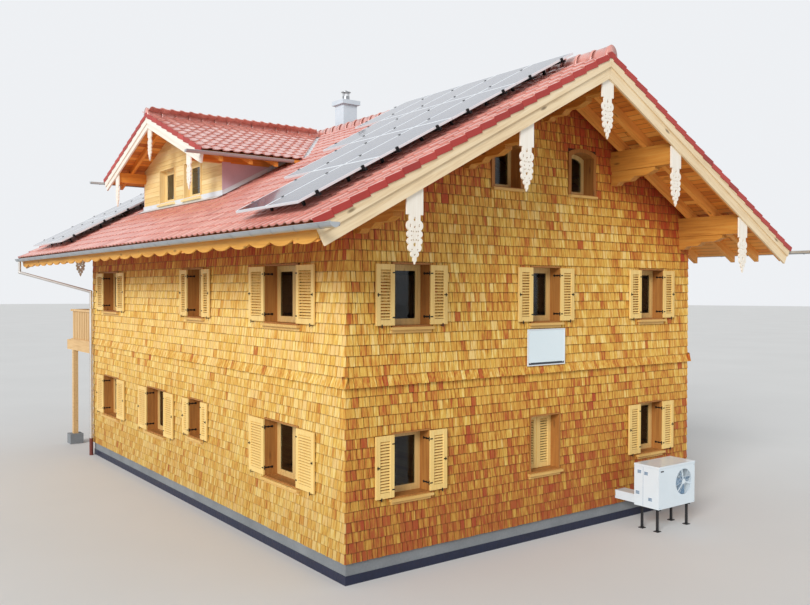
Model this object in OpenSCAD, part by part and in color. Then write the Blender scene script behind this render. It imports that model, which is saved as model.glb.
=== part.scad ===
// Alpine chalet with a shingle-clad body, a carved gable roof, a gabled dormer,
// solar arrays, a rear balcony and an outdoor heat pump.
// Millimetres. X runs across the front gable, Y along the ridge towards the back, Z up.
// The origin is the middle of the plan at the underside of the foundation.

/* [House body] */
// Width over the shingles of the front gable
house_w = 9000; // [8800:50:9300]
// Length over the shingles of the eaves walls
house_l = 13370; // [13100:50:13700]
// Top of the concrete foundation above the ground
plinth_h = 370; // [300:10:450]
// Distance that the wall face stands outside the concrete
plinth_inset = 20; // [10:5:40]
// Thickness of the timber walls
wall_t = 300; // [240:10:340]
// Thickness of the shingle layer that the walls leave room for
shingle_t = 20; // [15:1:30]
// Height from floor to floor
storey_h = 2800; // [2700:20:2900]
// Thickness of the upper and attic floors
floor_t = 220; // [160:10:280]
// Thickness of the boards on the ground slab
floor_board_t = 40; // [20:5:80]
// Height of the black membrane band on the foundation
membrane_h = 150; // [100:10:220]
// Thickness of the membrane band
membrane_t = 12; // [6:1:16]
// Height of the flared drip course between the storeys
drip_h = 110; // [80:5:160]
// Distance that the drip course stands out from the wall face
drip_out = 55; // [40:1:80]

/* [Main roof] */
// Slope of the main roof
roof_pitch = 28.3; // [28:0.1:29]
// Height of the roof deck above the upper floor, over the eaves wall faces
wall_deck_up = 3233; // [3150:1:3300]
// Overhang of the roof deck past the eaves walls' shingles
side_overhang = 1446; // [1350:10:1550]
// Gap between pieces that lie against each other on a slope
seat_gap = 0.2; // [0.1:0.1:0.4]
// Roof overhang past the front shingles
front_overhang = 1540; // [1500:10:1640]
// Roof overhang past the back shingles
back_overhang = 2230; // [2150:10:2330]
// Thickness of the roof boards
deck_t = 80; // [60:5:100]
// Thickness of the layer of clay tiles
tile_t = 60; // [50:2:80]
// Depth of the rafters
rafter_h = 180; // [160:5:200]
// Width of the rafters
rafter_w = 100; // [80:5:120]
// Number of rafters between the gable walls on each slope
rafter_count = 15; // [13:1:17]
// Distance from a gable wall to the first rafter inside it
fly_rafter_in = 420; // [380:10:480]
// Spacing of the rafters under the front overhang
front_fly_pitch = 580; // [520:5:600]
// Spacing of the rafters under the back overhang
back_fly_pitch = 555; // [520:5:580]
// Gap between the two slopes' rafters at the ridge
ridge_gap = 6; // [2:1:12]
// Width of the ridge tiles
ridge_tile_w = 220; // [200:5:260]
// Height of a ridge tile's crown above the tiles
ridge_tile_h = 115; // [95:5:140]
// Thickness of the ridge tiles
ridge_tile_t = 18; // [12:1:24]

/* [Purlins] */
// Width of the purlins
purlin_w = 200; // [180:5:230]
// Depth of the purlins
purlin_h = 340; // [300:10:380]
// Distance of the middle purlins from the ridge
middle_purlin_x = 1970; // [1850:10:2100]
// Distance of the eaves purlins' middles inside the wall faces
eaves_purlin_in = 240; // [210:5:260]
// Length of the carved corbels under the purlins
corbel_l = 1060; // [950:10:1100]
// Depth of the corbels at the wall
corbel_h = 280; // [240:10:320]
// Width of the corbels
corbel_w = 160; // [130:5:180]

/* [Bargeboards and pendants] */
// Thickness of the backing bargeboard
barge_t = 40; // [30:2:50]
// Depth of the backing bargeboard across the slope
barge_h = 345; // [310:5:370]
// Thickness of the upper board on its face
barge_cover_t = 28; // [20:2:36]
// Depth of the upper board across the slope
barge_cover_h = 165; // [140:5:200]
// Width of a pendant board
pendant_w = 300; // [260:5:320]
// Thickness of a pendant board
pendant_t = 28; // [20:2:36]
// Distance from the roof deck down to the tip of a pendant
pendant_drop = 1440; // [1400:5:1460]
// Length of a pendant board
pendant_l = 1130; // [1110:5:1150]
// Radius of the small holes sawn through a pendant
pendant_hole_r = 22; // [16:1:26]

/* [Eaves] */
// Thickness of the scalloped eaves board
eaves_board_t = 30; // [24:2:40]
// Depth of the scalloped eaves board at the lobes
eaves_board_h = 210; // [190:5:240]
// Distance from the end of the deck back to the eaves board
eaves_board_in = 60; // [40:5:80]
// Number of lobes along the eaves board
scallop_count = 25; // [22:1:29]
// Height of a lobe
scallop_rise = 75; // [50:5:90]
// Radius of the half-round gutters
gutter_r = 72; // [60:2:85]
// Sheet thickness of the gutters
gutter_t = 5; // [4:0.5:6]
// Distance of the gutter rim below the top of the deck
gutter_drop = 30; // [20:5:45]
// Height of the gutter's back flange
gutter_flange = 50; // [35:5:60]
// Distance that the gutters run past the front bargeboards
gutter_past = 600; // [500:10:700]
// Radius of the downpipes
downpipe_r = 40; // [32:2:50]
// Distance of the gutter outlet from the back end of the roof
outlet_in = 260; // [200:10:400]
// Extra radius of the downpipe elbows
elbow_extra = 4; // [2:1:8]
// Height of the iron standpipe at the foot of a downpipe
standpipe_h = 480; // [400:20:600]
// Radius of the standpipe
standpipe_r = 52; // [50:1:60]
// Distance from the back corner of the house to the downpipe
downpipe_in = 150; // [120:10:250]
// Gap between the drip course and the downpipe
pipe_gap = 20; // [10:5:40]
// Length of the plumb pipe below the gutter
pipe_top = 320; // [250:10:400]
// Height over which the slanting pipe runs to the wall
pipe_slant = 560; // [500:20:640]
// Height of a pipe strap above the standpipe or the drip course
strap_up = 250; // [150:10:350]
// Width of a pipe strap
strap_h = 40; // [30:5:50]

/* [Windows] */
// Distance of the outer gable windows from the corners of the house
gable_win_in = 1310; // [1250:10:1400]
// Clear width of the gable wall windows
gable_win_w = 750; // [700:10:800]
// Height of the lower window openings above the foundation
lower_sill = 930; // [880:10:980]
// Clear height of the lower windows
lower_win_h = 1040; // [1000:10:1060]
// Height of the upper window openings above the upper floor
upper_sill = 960; // [930:10:1010]
// Clear height of the upper windows
upper_win_h = 1020; // [980:10:1050]
// Distance from the front corner to the nearest eaves wall windows
near_win_y = 2110; // [2050:10:2200]
// Clear width of the nearest eaves wall windows
near_win_w = 1210; // [1150:10:1250]
// Distance from the front corner to the middle eaves wall windows
mid_win_y = 5950; // [5900:10:6000]
// Clear width of the middle upper window
mid_win_w = 800; // [750:10:850]
// Clear width of the small lower window
small_win_w = 660; // [600:10:700]
// Clear height of the small lower window
small_win_h = 800; // [760:10:840]
// Distance from the back corner to the lower window behind the small one
hall_win_y = 5050; // [4970:10:5120]
// Clear width of the lower window behind the small one
hall_win_w = 1140; // [1100:10:1180]
// Distance from the back corner to the far eaves wall windows
far_win_y = 1660; // [1610:10:1770]
// Clear width of the far eaves wall windows
far_win_w = 1150; // [1100:10:1200]
// Thickness of the timber linings in the window openings
lining_t = 25; // [20:1:35]
// Distance from the wall face to the front edge of the linings
lining_out = 35; // [32:1:45]
// Depth of the linings behind the wall face
lining_in = 225; // [210:5:235]
// Width of the window frames
frame_w = 55; // [45:5:70]
// Thickness of the window frames
frame_t = 65; // [60:1:75]
// Width of the sash bars
sash_w = 48; // [40:2:60]
// Thickness of the sashes
sash_t = 44; // [36:2:50]
// Thickness of the panes
glass_t = 24; // [16:2:28]
// Width above which a window has two sashes
two_sash_w = 1000; // [900:50:1050]
// Thickness of the timber window sills
sill_t = 45; // [35:5:60]
// Distance from the wall face to the front of the sills
sill_out = 90; // [75:5:110]
// Distance that a sill runs past the opening on each side
sill_side = 70; // [50:5:90]
// Distance from the middle to the attic windows of the gables
attic_win_x = 1005; // [960:5:1040]
// Clear width of the attic windows
attic_win_w = 640; // [600:10:680]
// Distance of the attic window openings' feet below the ridge
attic_win_low = 2215; // [2150:5:2250]
// Clear height of the attic windows at the crown
attic_win_h = 820; // [780:10:840]
// Rise of the arched heads of the attic windows
attic_win_rise = 90; // [70:5:110]
// Width of the casing round the attic windows
casing_w = 75; // [60:5:90]

/* [Shutters] */
// Thickness of a shutter leaf
leaf_t = 36; // [30:2:42]
// Width of the stiles of a leaf
stile_w = 88; // [76:2:96]
// Height of the rails of a leaf
rail_h = 100; // [85:5:110]
// Thickness of the louvred field of a leaf
field_t = 14; // [10:1:18]
// Gap above and below a leaf
leaf_gap = 6; // [3:1:10]
// Width of the strip over the joint of two closed leaves
strip_w = 40; // [30:2:50]
// Thickness of that strip
strip_t = 12; // [8:1:16]

/* [Dormer] */
// Distance of the dormer's middle from the front shingles
dormer_y = 8200; // [8100:10:8300]
// Distance of the dormer's front wall inside the eaves wall's face
dormer_in = 530; // [480:10:630]
// Half of the dormer's width over its walls
dormer_half = 2420; // [2350:10:2480]
// Thickness of the dormer walls
dormer_wall_t = 180; // [150:10:200]
// Slope of the dormer roof
dormer_pitch = 21; // [20:0.5:22]
// Height of the dormer deck at its ridge below the main ridge
dormer_low = 40; // [30:5:60]
// Roof overhang of the dormer on all sides
dormer_overhang = 750; // [700:10:800]
// Thickness of the dormer's roof boards
dormer_deck_t = 60; // [50:5:70]
// Depth of the dormer rafters
dormer_rafter_h = 120; // [100:5:140]
// Width of the dormer rafters
dormer_rafter_w = 80; // [60:5:100]
// Spacing of the dormer rafters
dormer_rafter_pitch = 600; // [560:10:640]
// Distance from the dormer's front wall to its first rafter
dormer_rafter_in = 80; // [60:5:120]
// Width of the dormer purlins
dormer_purlin_w = 140; // [120:5:160]
// Depth of the dormer purlins
dormer_purlin_h = 220; // [190:5:250]
// Distance of a dormer window from the dormer's middle
dormer_win_off = 790; // [760:10:820]
// Clear width of the dormer windows
dormer_win_w = 940; // [900:10:980]
// Height of the dormer window openings above the main roof's tiles
dormer_sill = 94; // [80:2:120]
// Clear height of the dormer windows
dormer_win_h = 820; // [780:10:840]
// Depth of the dormer bargeboards
dormer_barge_h = 270; // [250:5:290]
// Length of the dormer pendants
dormer_pendant_l = 850; // [820:10:880]
// Width of the dormer pendants
dormer_pendant_w = 230; // [200:5:250]
// Distance of the roof opening inside the dormer walls
dormer_hole_in = 50; // [30:5:80]
// Distance from the ridge to the roof opening
dormer_hole_top = 900; // [850:10:950]
// Width of the trimmers at the roof opening
trimmer_w = 80; // [60:5:100]
// Radius of the dormer's gutters
dormer_gutter_r = 55; // [50:1:62]
// Distance that the dormer's gutters run past its bargeboards
dormer_gutter_past = 350; // [300:10:400]

/* [Chimney] */
// Distance of the chimney's middle from the ridge
chimney_x = 450; // [430:10:500]
// Distance of the chimney's middle from the front shingles
chimney_y = 7730; // [7600:10:7800]
// Side of the square stack
stack_w = 420; // [400:10:460]
// Height of the stack above the ridge
stack_up = 790; // [700:10:900]
// Side of the cap slab
cap_w = 550; // [520:10:600]
// Thickness of the cap slab
cap_t = 110; // [80:5:140]
// Radius of the flue
flue_r = 90; // [80:5:100]
// Height of the metal cowl above the cap
cowl_h = 300; // [260:10:340]
// Radius of the cowl's hat
cowl_r = 130; // [120:5:150]
// Thickness of the cowl's metal
cowl_t = 6; // [4:1:8]

/* [Solar arrays] */
// Width of a solar module
module_w = 990; // [970:2:1010]
// Height of a solar module up the slope
module_h = 1590; // [1560:5:1590]
// Thickness of a solar module
module_t = 40; // [30:2:45]
// Gap between neighbouring modules
module_gap = 15; // [10:1:20]
// Modules in the front array's lowest row, with one more in each row above where they fit
module_first = 2; // [1:1:2]
// Distance up the slope from the end of the deck to the lowest module edge
array_in = 275; // [240:5:280]
// Clear space between the modules and the ridge or the dormer roof
array_clear = 50; // [35:5:55]
// Distance that the front array reaches past the front shingles
array_front = 815; // [780:5:850]
// Distance that the back array reaches past the back shingles
array_back = 1190; // [1180:10:1300]
// Height of the modules' faces above the roof deck
array_lift = 255; // [235:5:265]
// Width and depth of the mounting rails
solar_rail = 40; // [32:2:45]
// Distance that the rails run past the modules
rail_past = 70; // [40:5:90]

/* [Balcony] */
// Depth of the balcony behind the back shingles
balcony_d = 2290; // [2200:10:2400]
// Height of the balcony floor above the upper floor
balcony_up = 30; // [0:5:60]
// Thickness of the balcony floor boards
balcony_board_t = 45; // [35:5:55]
// Number of floor boards
balcony_board_n = 16; // [14:1:18]
// Gap between the floor boards
balcony_gap = 8; // [5:1:12]
// Width of the balcony beams
balcony_beam_w = 140; // [120:10:160]
// Depth of the balcony beams
balcony_beam_h = 300; // [260:10:320]
// Length of the beam ends past the floor
beam_past = 380; // [300:10:420]
// Side of the square balcony posts
post_w = 140; // [120:5:160]
// Distance of the posts from the edge of the balcony floor
post_in = 230; // [200:10:260]
// Height of the railing above the balcony floor
railing_h = 900; // [860:10:1000]
// Thickness of the handrail
handrail_t = 60; // [45:5:70]
// Width of the handrail
handrail_w = 110; // [90:5:130]
// Width of a railing board
railing_board_w = 120; // [100:5:140]
// Number of boards along the balcony front
railing_front_n = 50; // [44:1:54]
// Number of boards along each balcony side
railing_side_n = 12; // [10:1:13]
// Thickness of a railing board
railing_board_t = 26; // [20:2:30]
// Side of the concrete post footings
footing_w = 380; // [340:10:420]
// Height of the concrete post footings
footing_h = 300; // [250:10:350]

/* [Doors] */
// Clear width of the entrance and balcony doors
door_w = 1000; // [920:10:1060]
// Clear height of the doors
door_h = 2050; // [2000:10:2100]
// Thickness of the door leaves
door_t = 60; // [50:5:70]
// Depth of the doors behind the wall face
door_in = 110; // [90:5:140]

/* [Wall board] */
// Width of the plain board on the front wall
board_w = 1000; // [900:20:1100]
// Height of the plain board
board_h = 690; // [640:10:720]
// Thickness of the plain board
board_t = 15; // [10:1:20]
// Height of the underside of the board above the upper floor
board_up = 130; // [120:5:180]
// Gap between the shingles and the board
board_off = 20; // [10:5:40]
// Side of the blocks that hold the board off the shingles
board_block = 60; // [50:5:80]

/* [Heat pump] */
// Distance of the heat pump case from the middle of the house
pump_x = 1970; // [1920:10:2020]
// Gap between the front shingles and the back of the case
pump_gap = 550; // [520:10:600]
// Width of the case
pump_w = 1160; // [1120:10:1180]
// Depth of the case
pump_d = 584; // [560:4:620]
// Height of the case
pump_h = 820; // [780:10:850]
// Height of the case above the ground
pump_z = 460; // [420:10:500]
// Radius of the fan opening
fan_mouth_r = 278; // [270:2:290]
// Radius over the fan blades
fan_r = 262; // [240:2:263]
// Distance from the right side of the case to the fan's middle
fan_in = 366; // [340:2:400]
// Height of the fan's middle in the case
fan_up = 460; // [440:5:480]
// Depth of the fan opening
fan_depth = 260; // [230:5:300]
// Radius of the fan hub
hub_r = 62; // [50:2:70]
// Length of the fan hub
hub_l = 70; // [50:5:80]
// Radius of the motor shaft
shaft_r = 10; // [8:1:14]
// Radial clearance between the shaft and the hub
shaft_play = 0.05; // [0.02:0.01:0.1]
// Radius of the fan motor
motor_r = 70; // [60:2:80]
// Gap between the motor and the hub
motor_gap = 8; // [5:1:12]
// Thickness of the hub's closed front
hub_cap = 6; // [4:1:10]
// Gap between the end of the shaft and the hub's closed front
shaft_end = 4; // [2:1:6]
// Number of fan blades
blade_n = 4; // [3:1:5]
// Thickness of a fan blade
blade_t = 8; // [6:1:10]
// Chord of a fan blade
blade_w = 150; // [120:5:160]
// Tilt of the fan blades
blade_tilt = 24; // [15:1:30]
// Clear space in front of and behind the fan
fan_clear = 20; // [10:1:25]
// Number of arms on the fan guard
guard_arms = 3; // [3:1:6]
// Thickness of the fan guard
guard_t = 10; // [8:1:14]
// Radial width of the guard ring
guard_ring = 22; // [16:1:28]
// Side of the legs of the stand
leg_w = 40; // [30:2:50]
// Distance of the legs from the ends of the case
leg_in = 110; // [80:5:140]
// Height of the stand's feet
foot_t = 12; // [8:1:16]
// Side of the stand's feet
foot_w = 110; // [90:5:130]
// Width of the pipe duct to the wall
duct_w = 300; // [260:10:340]
// Height of the pipe duct
duct_h = 170; // [140:10:200]
// Thickness of the duct walls
duct_t = 3; // [2:0.5:5]

/* [Hidden] */
$fn = 48;

half_w = house_w / 2;
half_l = house_l / 2;
face_x = half_w - shingle_t;
face_y = half_l - shingle_t;
eaves_x = half_w + side_overhang;
eaves_purlin_x = face_x - eaves_purlin_in;
dormer_x = face_x - dormer_in;
in_x = face_x - wall_t;
in_y = face_y - wall_t;
roof_y0 = -half_l - front_overhang;
roof_y1 = half_l + back_overhang;
barge_all = barge_t + barge_cover_t;
deck_y0 = roof_y0 + barge_all;
deck_y1 = roof_y1 - barge_all;
upper_z = plinth_h + storey_h;
tan_p = tan(roof_pitch);
cos_p = cos(roof_pitch);
sin_p = sin(roof_pitch);
tan_d = tan(dormer_pitch);
cos_d = cos(dormer_pitch);
sin_d = sin(dormer_pitch);
under_deck = deck_t + seat_gap;
rafter_foot = under_deck + rafter_h;
under_rafter = rafter_foot + seat_gap;
ridge_z = upper_z + wall_deck_up + tan_p * face_x;

// Height of the plane that lies d below the roof deck, square to the slope
function roof_z(x, d) = ridge_z - tan_p * abs(x) - d / cos_p;
eaves_purlin_z = roof_z(eaves_purlin_x, under_rafter) - purlin_h;
attic_z = eaves_purlin_z;
balcony_z = upper_z + balcony_up;
board_z = upper_z + board_up;
stack_z = ridge_z + stack_up;
lower_win_z = plinth_h + lower_sill;
upper_win_z = upper_z + upper_sill;
attic_win_z = ridge_z - attic_win_low;
dormer_win_z = roof_z(dormer_x, -tile_t) + dormer_sill;
gable_win_pitch = half_w - gable_win_in;

// Rafters inside the gable walls, then those under the front and the back overhang
rafter_span = 2 * (in_y - fly_rafter_in);
rafter_pitch = rafter_span / (rafter_count - 1);
rafters_in = [for (i = [0 : rafter_count - 1]) -rafter_span / 2 + i * rafter_pitch];
fly_in = pendant_t + rafter_w / 2;
rafters_front = [for (i = [0 : 2]) deck_y0 + fly_in + i * front_fly_pitch];
rafters_back = [for (i = [0 : 3]) deck_y1 - fly_in - i * back_fly_pitch];
rafters_y = concat(rafters_front, rafters_in, rafters_back);

// Each window is [middle along the wall, sill height, clear width, clear height, closed]
front_wins = [
    [-gable_win_pitch, upper_win_z, gable_win_w, upper_win_h, false],
    [0, upper_win_z, gable_win_w, upper_win_h, false],
    [gable_win_pitch, upper_win_z, gable_win_w, upper_win_h, false],
    [-gable_win_pitch, lower_win_z, gable_win_w, lower_win_h, false],
    [0, lower_win_z, gable_win_w, lower_win_h, true],
    [gable_win_pitch, lower_win_z, gable_win_w, lower_win_h, false]];
back_wins = [
    [-gable_win_pitch, upper_win_z, gable_win_w, upper_win_h, false],
    [gable_win_pitch, upper_win_z, gable_win_w, upper_win_h, false],
    [-gable_win_pitch, lower_win_z, gable_win_w, lower_win_h, false],
    [gable_win_pitch, lower_win_z, gable_win_w, lower_win_h, false]];
small_win_z = lower_win_z + lower_win_h - small_win_h;
side_wins = [
    [near_win_y - half_l, upper_win_z, near_win_w, upper_win_h, false],
    [mid_win_y - half_l, upper_win_z, mid_win_w, upper_win_h, false],
    [half_l - far_win_y, upper_win_z, far_win_w, upper_win_h, false],
    [near_win_y - half_l, lower_win_z, near_win_w, lower_win_h, false],
    [mid_win_y - half_l, small_win_z, small_win_w, small_win_h, false],
    [half_l - hall_win_y, lower_win_z, hall_win_w, lower_win_h, false],
    [half_l - far_win_y, lower_win_z, far_win_w, lower_win_h, false]];
door_bottoms = [plinth_h + floor_board_t, upper_z];

dormer_mid = dormer_y - half_l;
dormer_top = ridge_z - dormer_low;
dormer_eave = dormer_half + dormer_overhang;
dormer_front_x = dormer_x + dormer_overhang;
dormer_under_deck = dormer_deck_t + seat_gap;
dormer_rafter_foot = dormer_under_deck + dormer_rafter_h;
dormer_under = dormer_rafter_foot + seat_gap;
dormer_purlin_off = dormer_half - dormer_purlin_w / 2;
dormer_hole_half = dormer_half - dormer_wall_t - dormer_hole_in;
dormer_hole_x0 = dormer_x - dormer_wall_t - dormer_hole_in;

// Height of the plane that lies d below the dormer's deck, at distance v from its middle
function dormer_z(v, d) = dormer_top - tan_d * abs(v) - d / cos_d;

chimney_mid = chimney_y - half_l;
pump_back = -half_l - pump_gap;
pump_front = pump_back - pump_d;
fan_x = pump_x + pump_w - fan_in;
fan_z = pump_z + fan_up;
gutter_x = eaves_x + gutter_r;
gutter_z = roof_z(eaves_x, 0) - gutter_drop;
balcony_y = half_l + balcony_d;
beam_z = balcony_z - balcony_board_t - balcony_beam_h;

// Shared shapes

// Draws a profile of X and Z from y0 to y1
module along_y(y0, y1) {
    translate([0, y1, 0])
        rotate([90, 0, 0])
            linear_extrude(y1 - y0)
                children();
}

// Draws a profile of Y and Z from x0 to x1
module along_x(x0, x1) {
    translate([x0, 0, 0])
        rotate([90, 0, 90])
            linear_extrude(x1 - x0)
                children();
}

// Puts its children on both sides of the house
module both_sides() {
    children();
    mirror([1, 0, 0]) children();
}

// A box given by two corners
module box(a, b) {
    translate(a) cube([b[0] - a[0], b[1] - a[1], b[2] - a[2]]);
}

// Profile of a layer of the right slope, between depths d0 and d1, cut plumb at both ends
module slope_layer(x0, x1, d0, d1) {
    polygon([
        [x0, roof_z(x0, d0)],
        [x1, roof_z(x1, d0)],
        [x1, roof_z(x1, d1)],
        [x0, roof_z(x0, d1)]]);
}

// The same layer with its lower end cut square to the slope
module slope_board(x0, x1, d0, d1, pitch, top) {
    polygon([
        [x0, top - tan(pitch) * x0 - d0 / cos(pitch)],
        [x1 - d0 * sin(pitch), top - tan(pitch) * x1 - d0 * cos(pitch)],
        [x1 - d1 * sin(pitch), top - tan(pitch) * x1 - d1 * cos(pitch)],
        [x0, top - tan(pitch) * x0 - d1 / cos(pitch)]]);
}

// Section of a purlin at distance x from the ridge
module purlin_section(x) {
    bottom = roof_z(x, under_rafter) - purlin_h;
    polygon(x == 0
        ? [[-purlin_w / 2, bottom], [purlin_w / 2, bottom],
            [purlin_w / 2, roof_z(purlin_w / 2, under_rafter)],
            [0, roof_z(0, under_rafter)],
            [-purlin_w / 2, roof_z(purlin_w / 2, under_rafter)]]
        : [[x - purlin_w / 2, bottom], [x + purlin_w / 2, bottom],
            [x + purlin_w / 2, roof_z(x + purlin_w / 2, under_rafter)],
            [x - purlin_w / 2, roof_z(x - purlin_w / 2, under_rafter)]]);
}

module all_purlin_sections() {
    purlin_section(0);
    both_sides_2d() {
        purlin_section(middle_purlin_x);
        purlin_section(eaves_purlin_x);
    }
}

module both_sides_2d() {
    children();
    mirror([1, 0]) children();
}

// One slope's rafters, on the right
module rafter_set(xs = eaves_x - eaves_board_in - eaves_board_t) {
    for (y = rafters_y)
        along_y(y - rafter_w / 2, y + rafter_w / 2)
            slope_layer(ridge_gap / 2, xs, under_deck, rafter_foot);
}

// The shaft of space that the chimney stack passes through
module stack_space() {
    box([chimney_x - stack_w / 2, chimney_mid - stack_w / 2, plinth_h],
        [chimney_x + stack_w / 2, chimney_mid + stack_w / 2, stack_z]);
}

// Head-on outline of an attic window, grown by g on all sides
module attic_outline(g) {
    w = attic_win_w + 2 * g;
    h = attic_win_h + 2 * g;
    r = (w * w / 4 + attic_win_rise * attic_win_rise) / (2 * attic_win_rise);
    translate([0, attic_win_z - g])
        intersection() {
            translate([-w / 2, 0]) square([w, h]);
            translate([0, h - r]) circle(r, $fn = 96);
        }
}

// Head-on outlines of the openings in a gable wall
module gable_openings(wins, g) {
    for (w = wins)
        translate([w[0] - w[2] / 2 - g, w[1] - g])
            square([w[2] + 2 * g, w[3] + 2 * g]);
    for (s = [-1, 1])
        translate([s * attic_win_x, 0]) attic_outline(g);
}

module door_openings() {
    for (z = door_bottoms)
        translate([-door_w / 2, z]) square([door_w, door_h]);
}

// Head-on outline of a gable wall
module gable_outline() {
    polygon([
        [-face_x, plinth_h], [face_x, plinth_h],
        [face_x, roof_z(face_x, under_deck)],
        [0, roof_z(0, under_deck)],
        [-face_x, roof_z(face_x, under_deck)]]);
}

// An eaves wall on the right side
module eaves_wall(wins) {
    px = eaves_purlin_x + purlin_w / 2;
    difference() {
        along_y(-in_y, in_y)
            polygon([
                [in_x, plinth_h], [face_x, plinth_h],
                [face_x, roof_z(face_x, under_deck)],
                [px, roof_z(px, under_deck)],
                [px, eaves_purlin_z],
                [in_x, eaves_purlin_z]]);
        for (w = wins)
            box([in_x - 1, w[0] - w[2] / 2 - lining_t, w[1] - lining_t],
                [face_x + 1, w[0] + w[2] / 2 + lining_t, w[1] + w[3] + lining_t]);
        rafter_set();
    }
}

// The body of the house

module foundation() {
    color("gray")
        box([-face_x + plinth_inset, -face_y + plinth_inset, 0],
            [face_x - plinth_inset, face_y - plinth_inset, plinth_h]);
}

module membrane() {
    x = face_x - plinth_inset;
    y = face_y - plinth_inset;
    color("midnightblue")
        difference() {
            box([-x - membrane_t, -y - membrane_t, 0], [x + membrane_t, y + membrane_t, membrane_h]);
            box([-x, -y, -1], [x, y, membrane_h + 1]);
        }
}

module ground_floor() {
    color("burlywood")
        difference() {
            box([-in_x, -in_y, plinth_h], [in_x, in_y, plinth_h + floor_board_t]);
            stack_space();
        }
}

module upper_floor() {
    color("burlywood")
        difference() {
            box([-in_x, -in_y, upper_z - floor_t], [in_x, in_y, upper_z]);
            stack_space();
        }
}

module attic_floor() {
    color("burlywood")
        difference() {
            box([-in_x, -in_y, attic_z - floor_t], [in_x, in_y, attic_z]);
            stack_space();
        }
}

module front_wall() {
    color("goldenrod")
        along_y(-face_y, -in_y)
            difference() {
                gable_outline();
                gable_openings(front_wins, lining_t);
                all_purlin_sections();
            }
}

module back_wall() {
    color("goldenrod")
        along_y(in_y, face_y)
            difference() {
                gable_outline();
                gable_openings(back_wins, lining_t);
                door_openings();
                all_purlin_sections();
            }
}

module left_wall() {
    color("goldenrod")
        mirror([1, 0, 0]) eaves_wall(side_wins);
}

module right_wall() {
    color("goldenrod") eaves_wall(side_wins);
}

// A flared band of shingles that throws the rain clear of the storey below
module drip_course() {
    z = upper_z;
    module side_runs(l) {
        both_sides()
            along_y(-l, l)
                polygon([[face_x, z], [face_x + drip_out, z], [face_x, z + drip_h]]);
    }
    module end_runs(l) {
        for (s = [0, 1])
            mirror([0, s, 0])
                along_x(-l, l)
                    polygon([[face_y, z], [face_y + drip_out, z], [face_y, z + drip_h]]);
    }
    color("darkgoldenrod")
        difference() {
            union() {
                side_runs(face_y);
                end_runs(face_x);
                intersection() {
                    side_runs(face_y + drip_out);
                    end_runs(face_x + drip_out);
                }
            }
            along_y(face_y - 1, face_y + drip_out + 1)
                door_openings();
        }
}

// The roof frame

module purlins() {
    color("peru")
        along_y(deck_y0 + pendant_t, deck_y1 - pendant_t)
            all_purlin_sections();
}

// Side profile of a corbel, from the wall at 0 outwards, hanging from 0
module corbel_outline() {
    l = corbel_l;
    h = corbel_h;
    difference() {
        polygon([[0, 0], [l, 0], [l, -h / 4], [l * 0.82, -h / 2], [l * 0.55, -h / 2],
            [l * 0.45, -h * 0.78], [l * 0.2, -h * 0.78], [l * 0.14, -h], [0, -h]]);
        translate([l, -h / 2]) circle(h / 4);
        translate([l * 0.55, -h * 0.78]) circle(h * 0.2);
        translate([l * 0.2, -h]) circle(h * 0.14);
    }
}

module purlin_corbels() {
    color("peru")
        for (x = [-eaves_purlin_x, -middle_purlin_x, 0, middle_purlin_x, eaves_purlin_x])
            translate([x, 0, roof_z(x, under_rafter) - purlin_h])
                for (s = [0, 1])
                    mirror([0, s, 0])
                        translate([0, face_y, 0])
                            along_x(-corbel_w / 2, corbel_w / 2)
                                corbel_outline();
}

// The room that the dormer opens in the left slope
module dormer_void() {
    box([-dormer_hole_x0, dormer_mid - dormer_hole_half, attic_z],
        [-dormer_hole_top, dormer_mid + dormer_hole_half, ridge_z + 1]);
}

module rafters_left() {
    color("orange")
        difference() {
            mirror([1, 0, 0]) rafter_set();
            dormer_void();
        }
}

module rafters_right() {
    color("orange")
        difference() {
            rafter_set();
            stack_space();
        }
}

// Cross pieces between the rafters at both ends of the dormer opening
module dormer_trimmers() {
    y0 = dormer_mid - dormer_hole_half - rafter_pitch / 2;
    y1 = dormer_mid + dormer_hole_half + rafter_pitch / 2;
    color("orange")
        difference() {
            mirror([1, 0, 0])
                along_y(y0, y1) {
                    slope_layer(dormer_hole_top - trimmer_w, dormer_hole_top, under_deck, rafter_foot);
                    slope_layer(dormer_hole_x0, dormer_hole_x0 + trimmer_w, under_deck, rafter_foot);
                }
            mirror([1, 0, 0]) rafter_set();
        }
}

module roof_boards_left() {
    color("sandybrown")
        difference() {
            mirror([1, 0, 0])
                along_y(deck_y0, deck_y1)
                    slope_layer(0, eaves_x, 0, deck_t);
            dormer_void();
        }
}

module roof_boards_right() {
    color("sandybrown")
        difference() {
            along_y(deck_y0, deck_y1)
                slope_layer(0, eaves_x, 0, deck_t);
            stack_space();
        }
}

// Everything more than d above the main roof deck on the left slope
module above_deck(d = seat_gap) {
    mirror([1, 0, 0])
        along_y(dormer_mid - dormer_eave - 1, dormer_mid + dormer_eave + 1)
            polygon([[0, roof_z(0, -d)], [eaves_x, roof_z(eaves_x, -d)],
                [eaves_x, ridge_z + purlin_h], [0, ridge_z + purlin_h]]);
}

// The dormer's own bulk: the space within its walls and its roof layers
module dormer_bulk() {
    intersection() {
        above_deck(-deck_t / 2);
        union() {
            translate([0, dormer_mid, 0])
                along_x(-dormer_x, 0)
                    polygon([
                        [-dormer_half, 0], [dormer_half, 0],
                        [dormer_half, dormer_z(dormer_half, 0)],
                        [0, dormer_z(0, 0)],
                        [-dormer_half, dormer_z(dormer_half, 0)]]);
            dormer_layer(-tile_t - seat_gap, dormer_under, dormer_front_x, -deck_t / 2);
        }
    }
}

module roof_tiles_left() {
    color("firebrick")
        difference() {
            mirror([1, 0, 0])
                along_y(roof_y0, roof_y1)
                    slope_layer(0, eaves_x, -tile_t, 0);
            dormer_bulk();
        }
}

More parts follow.
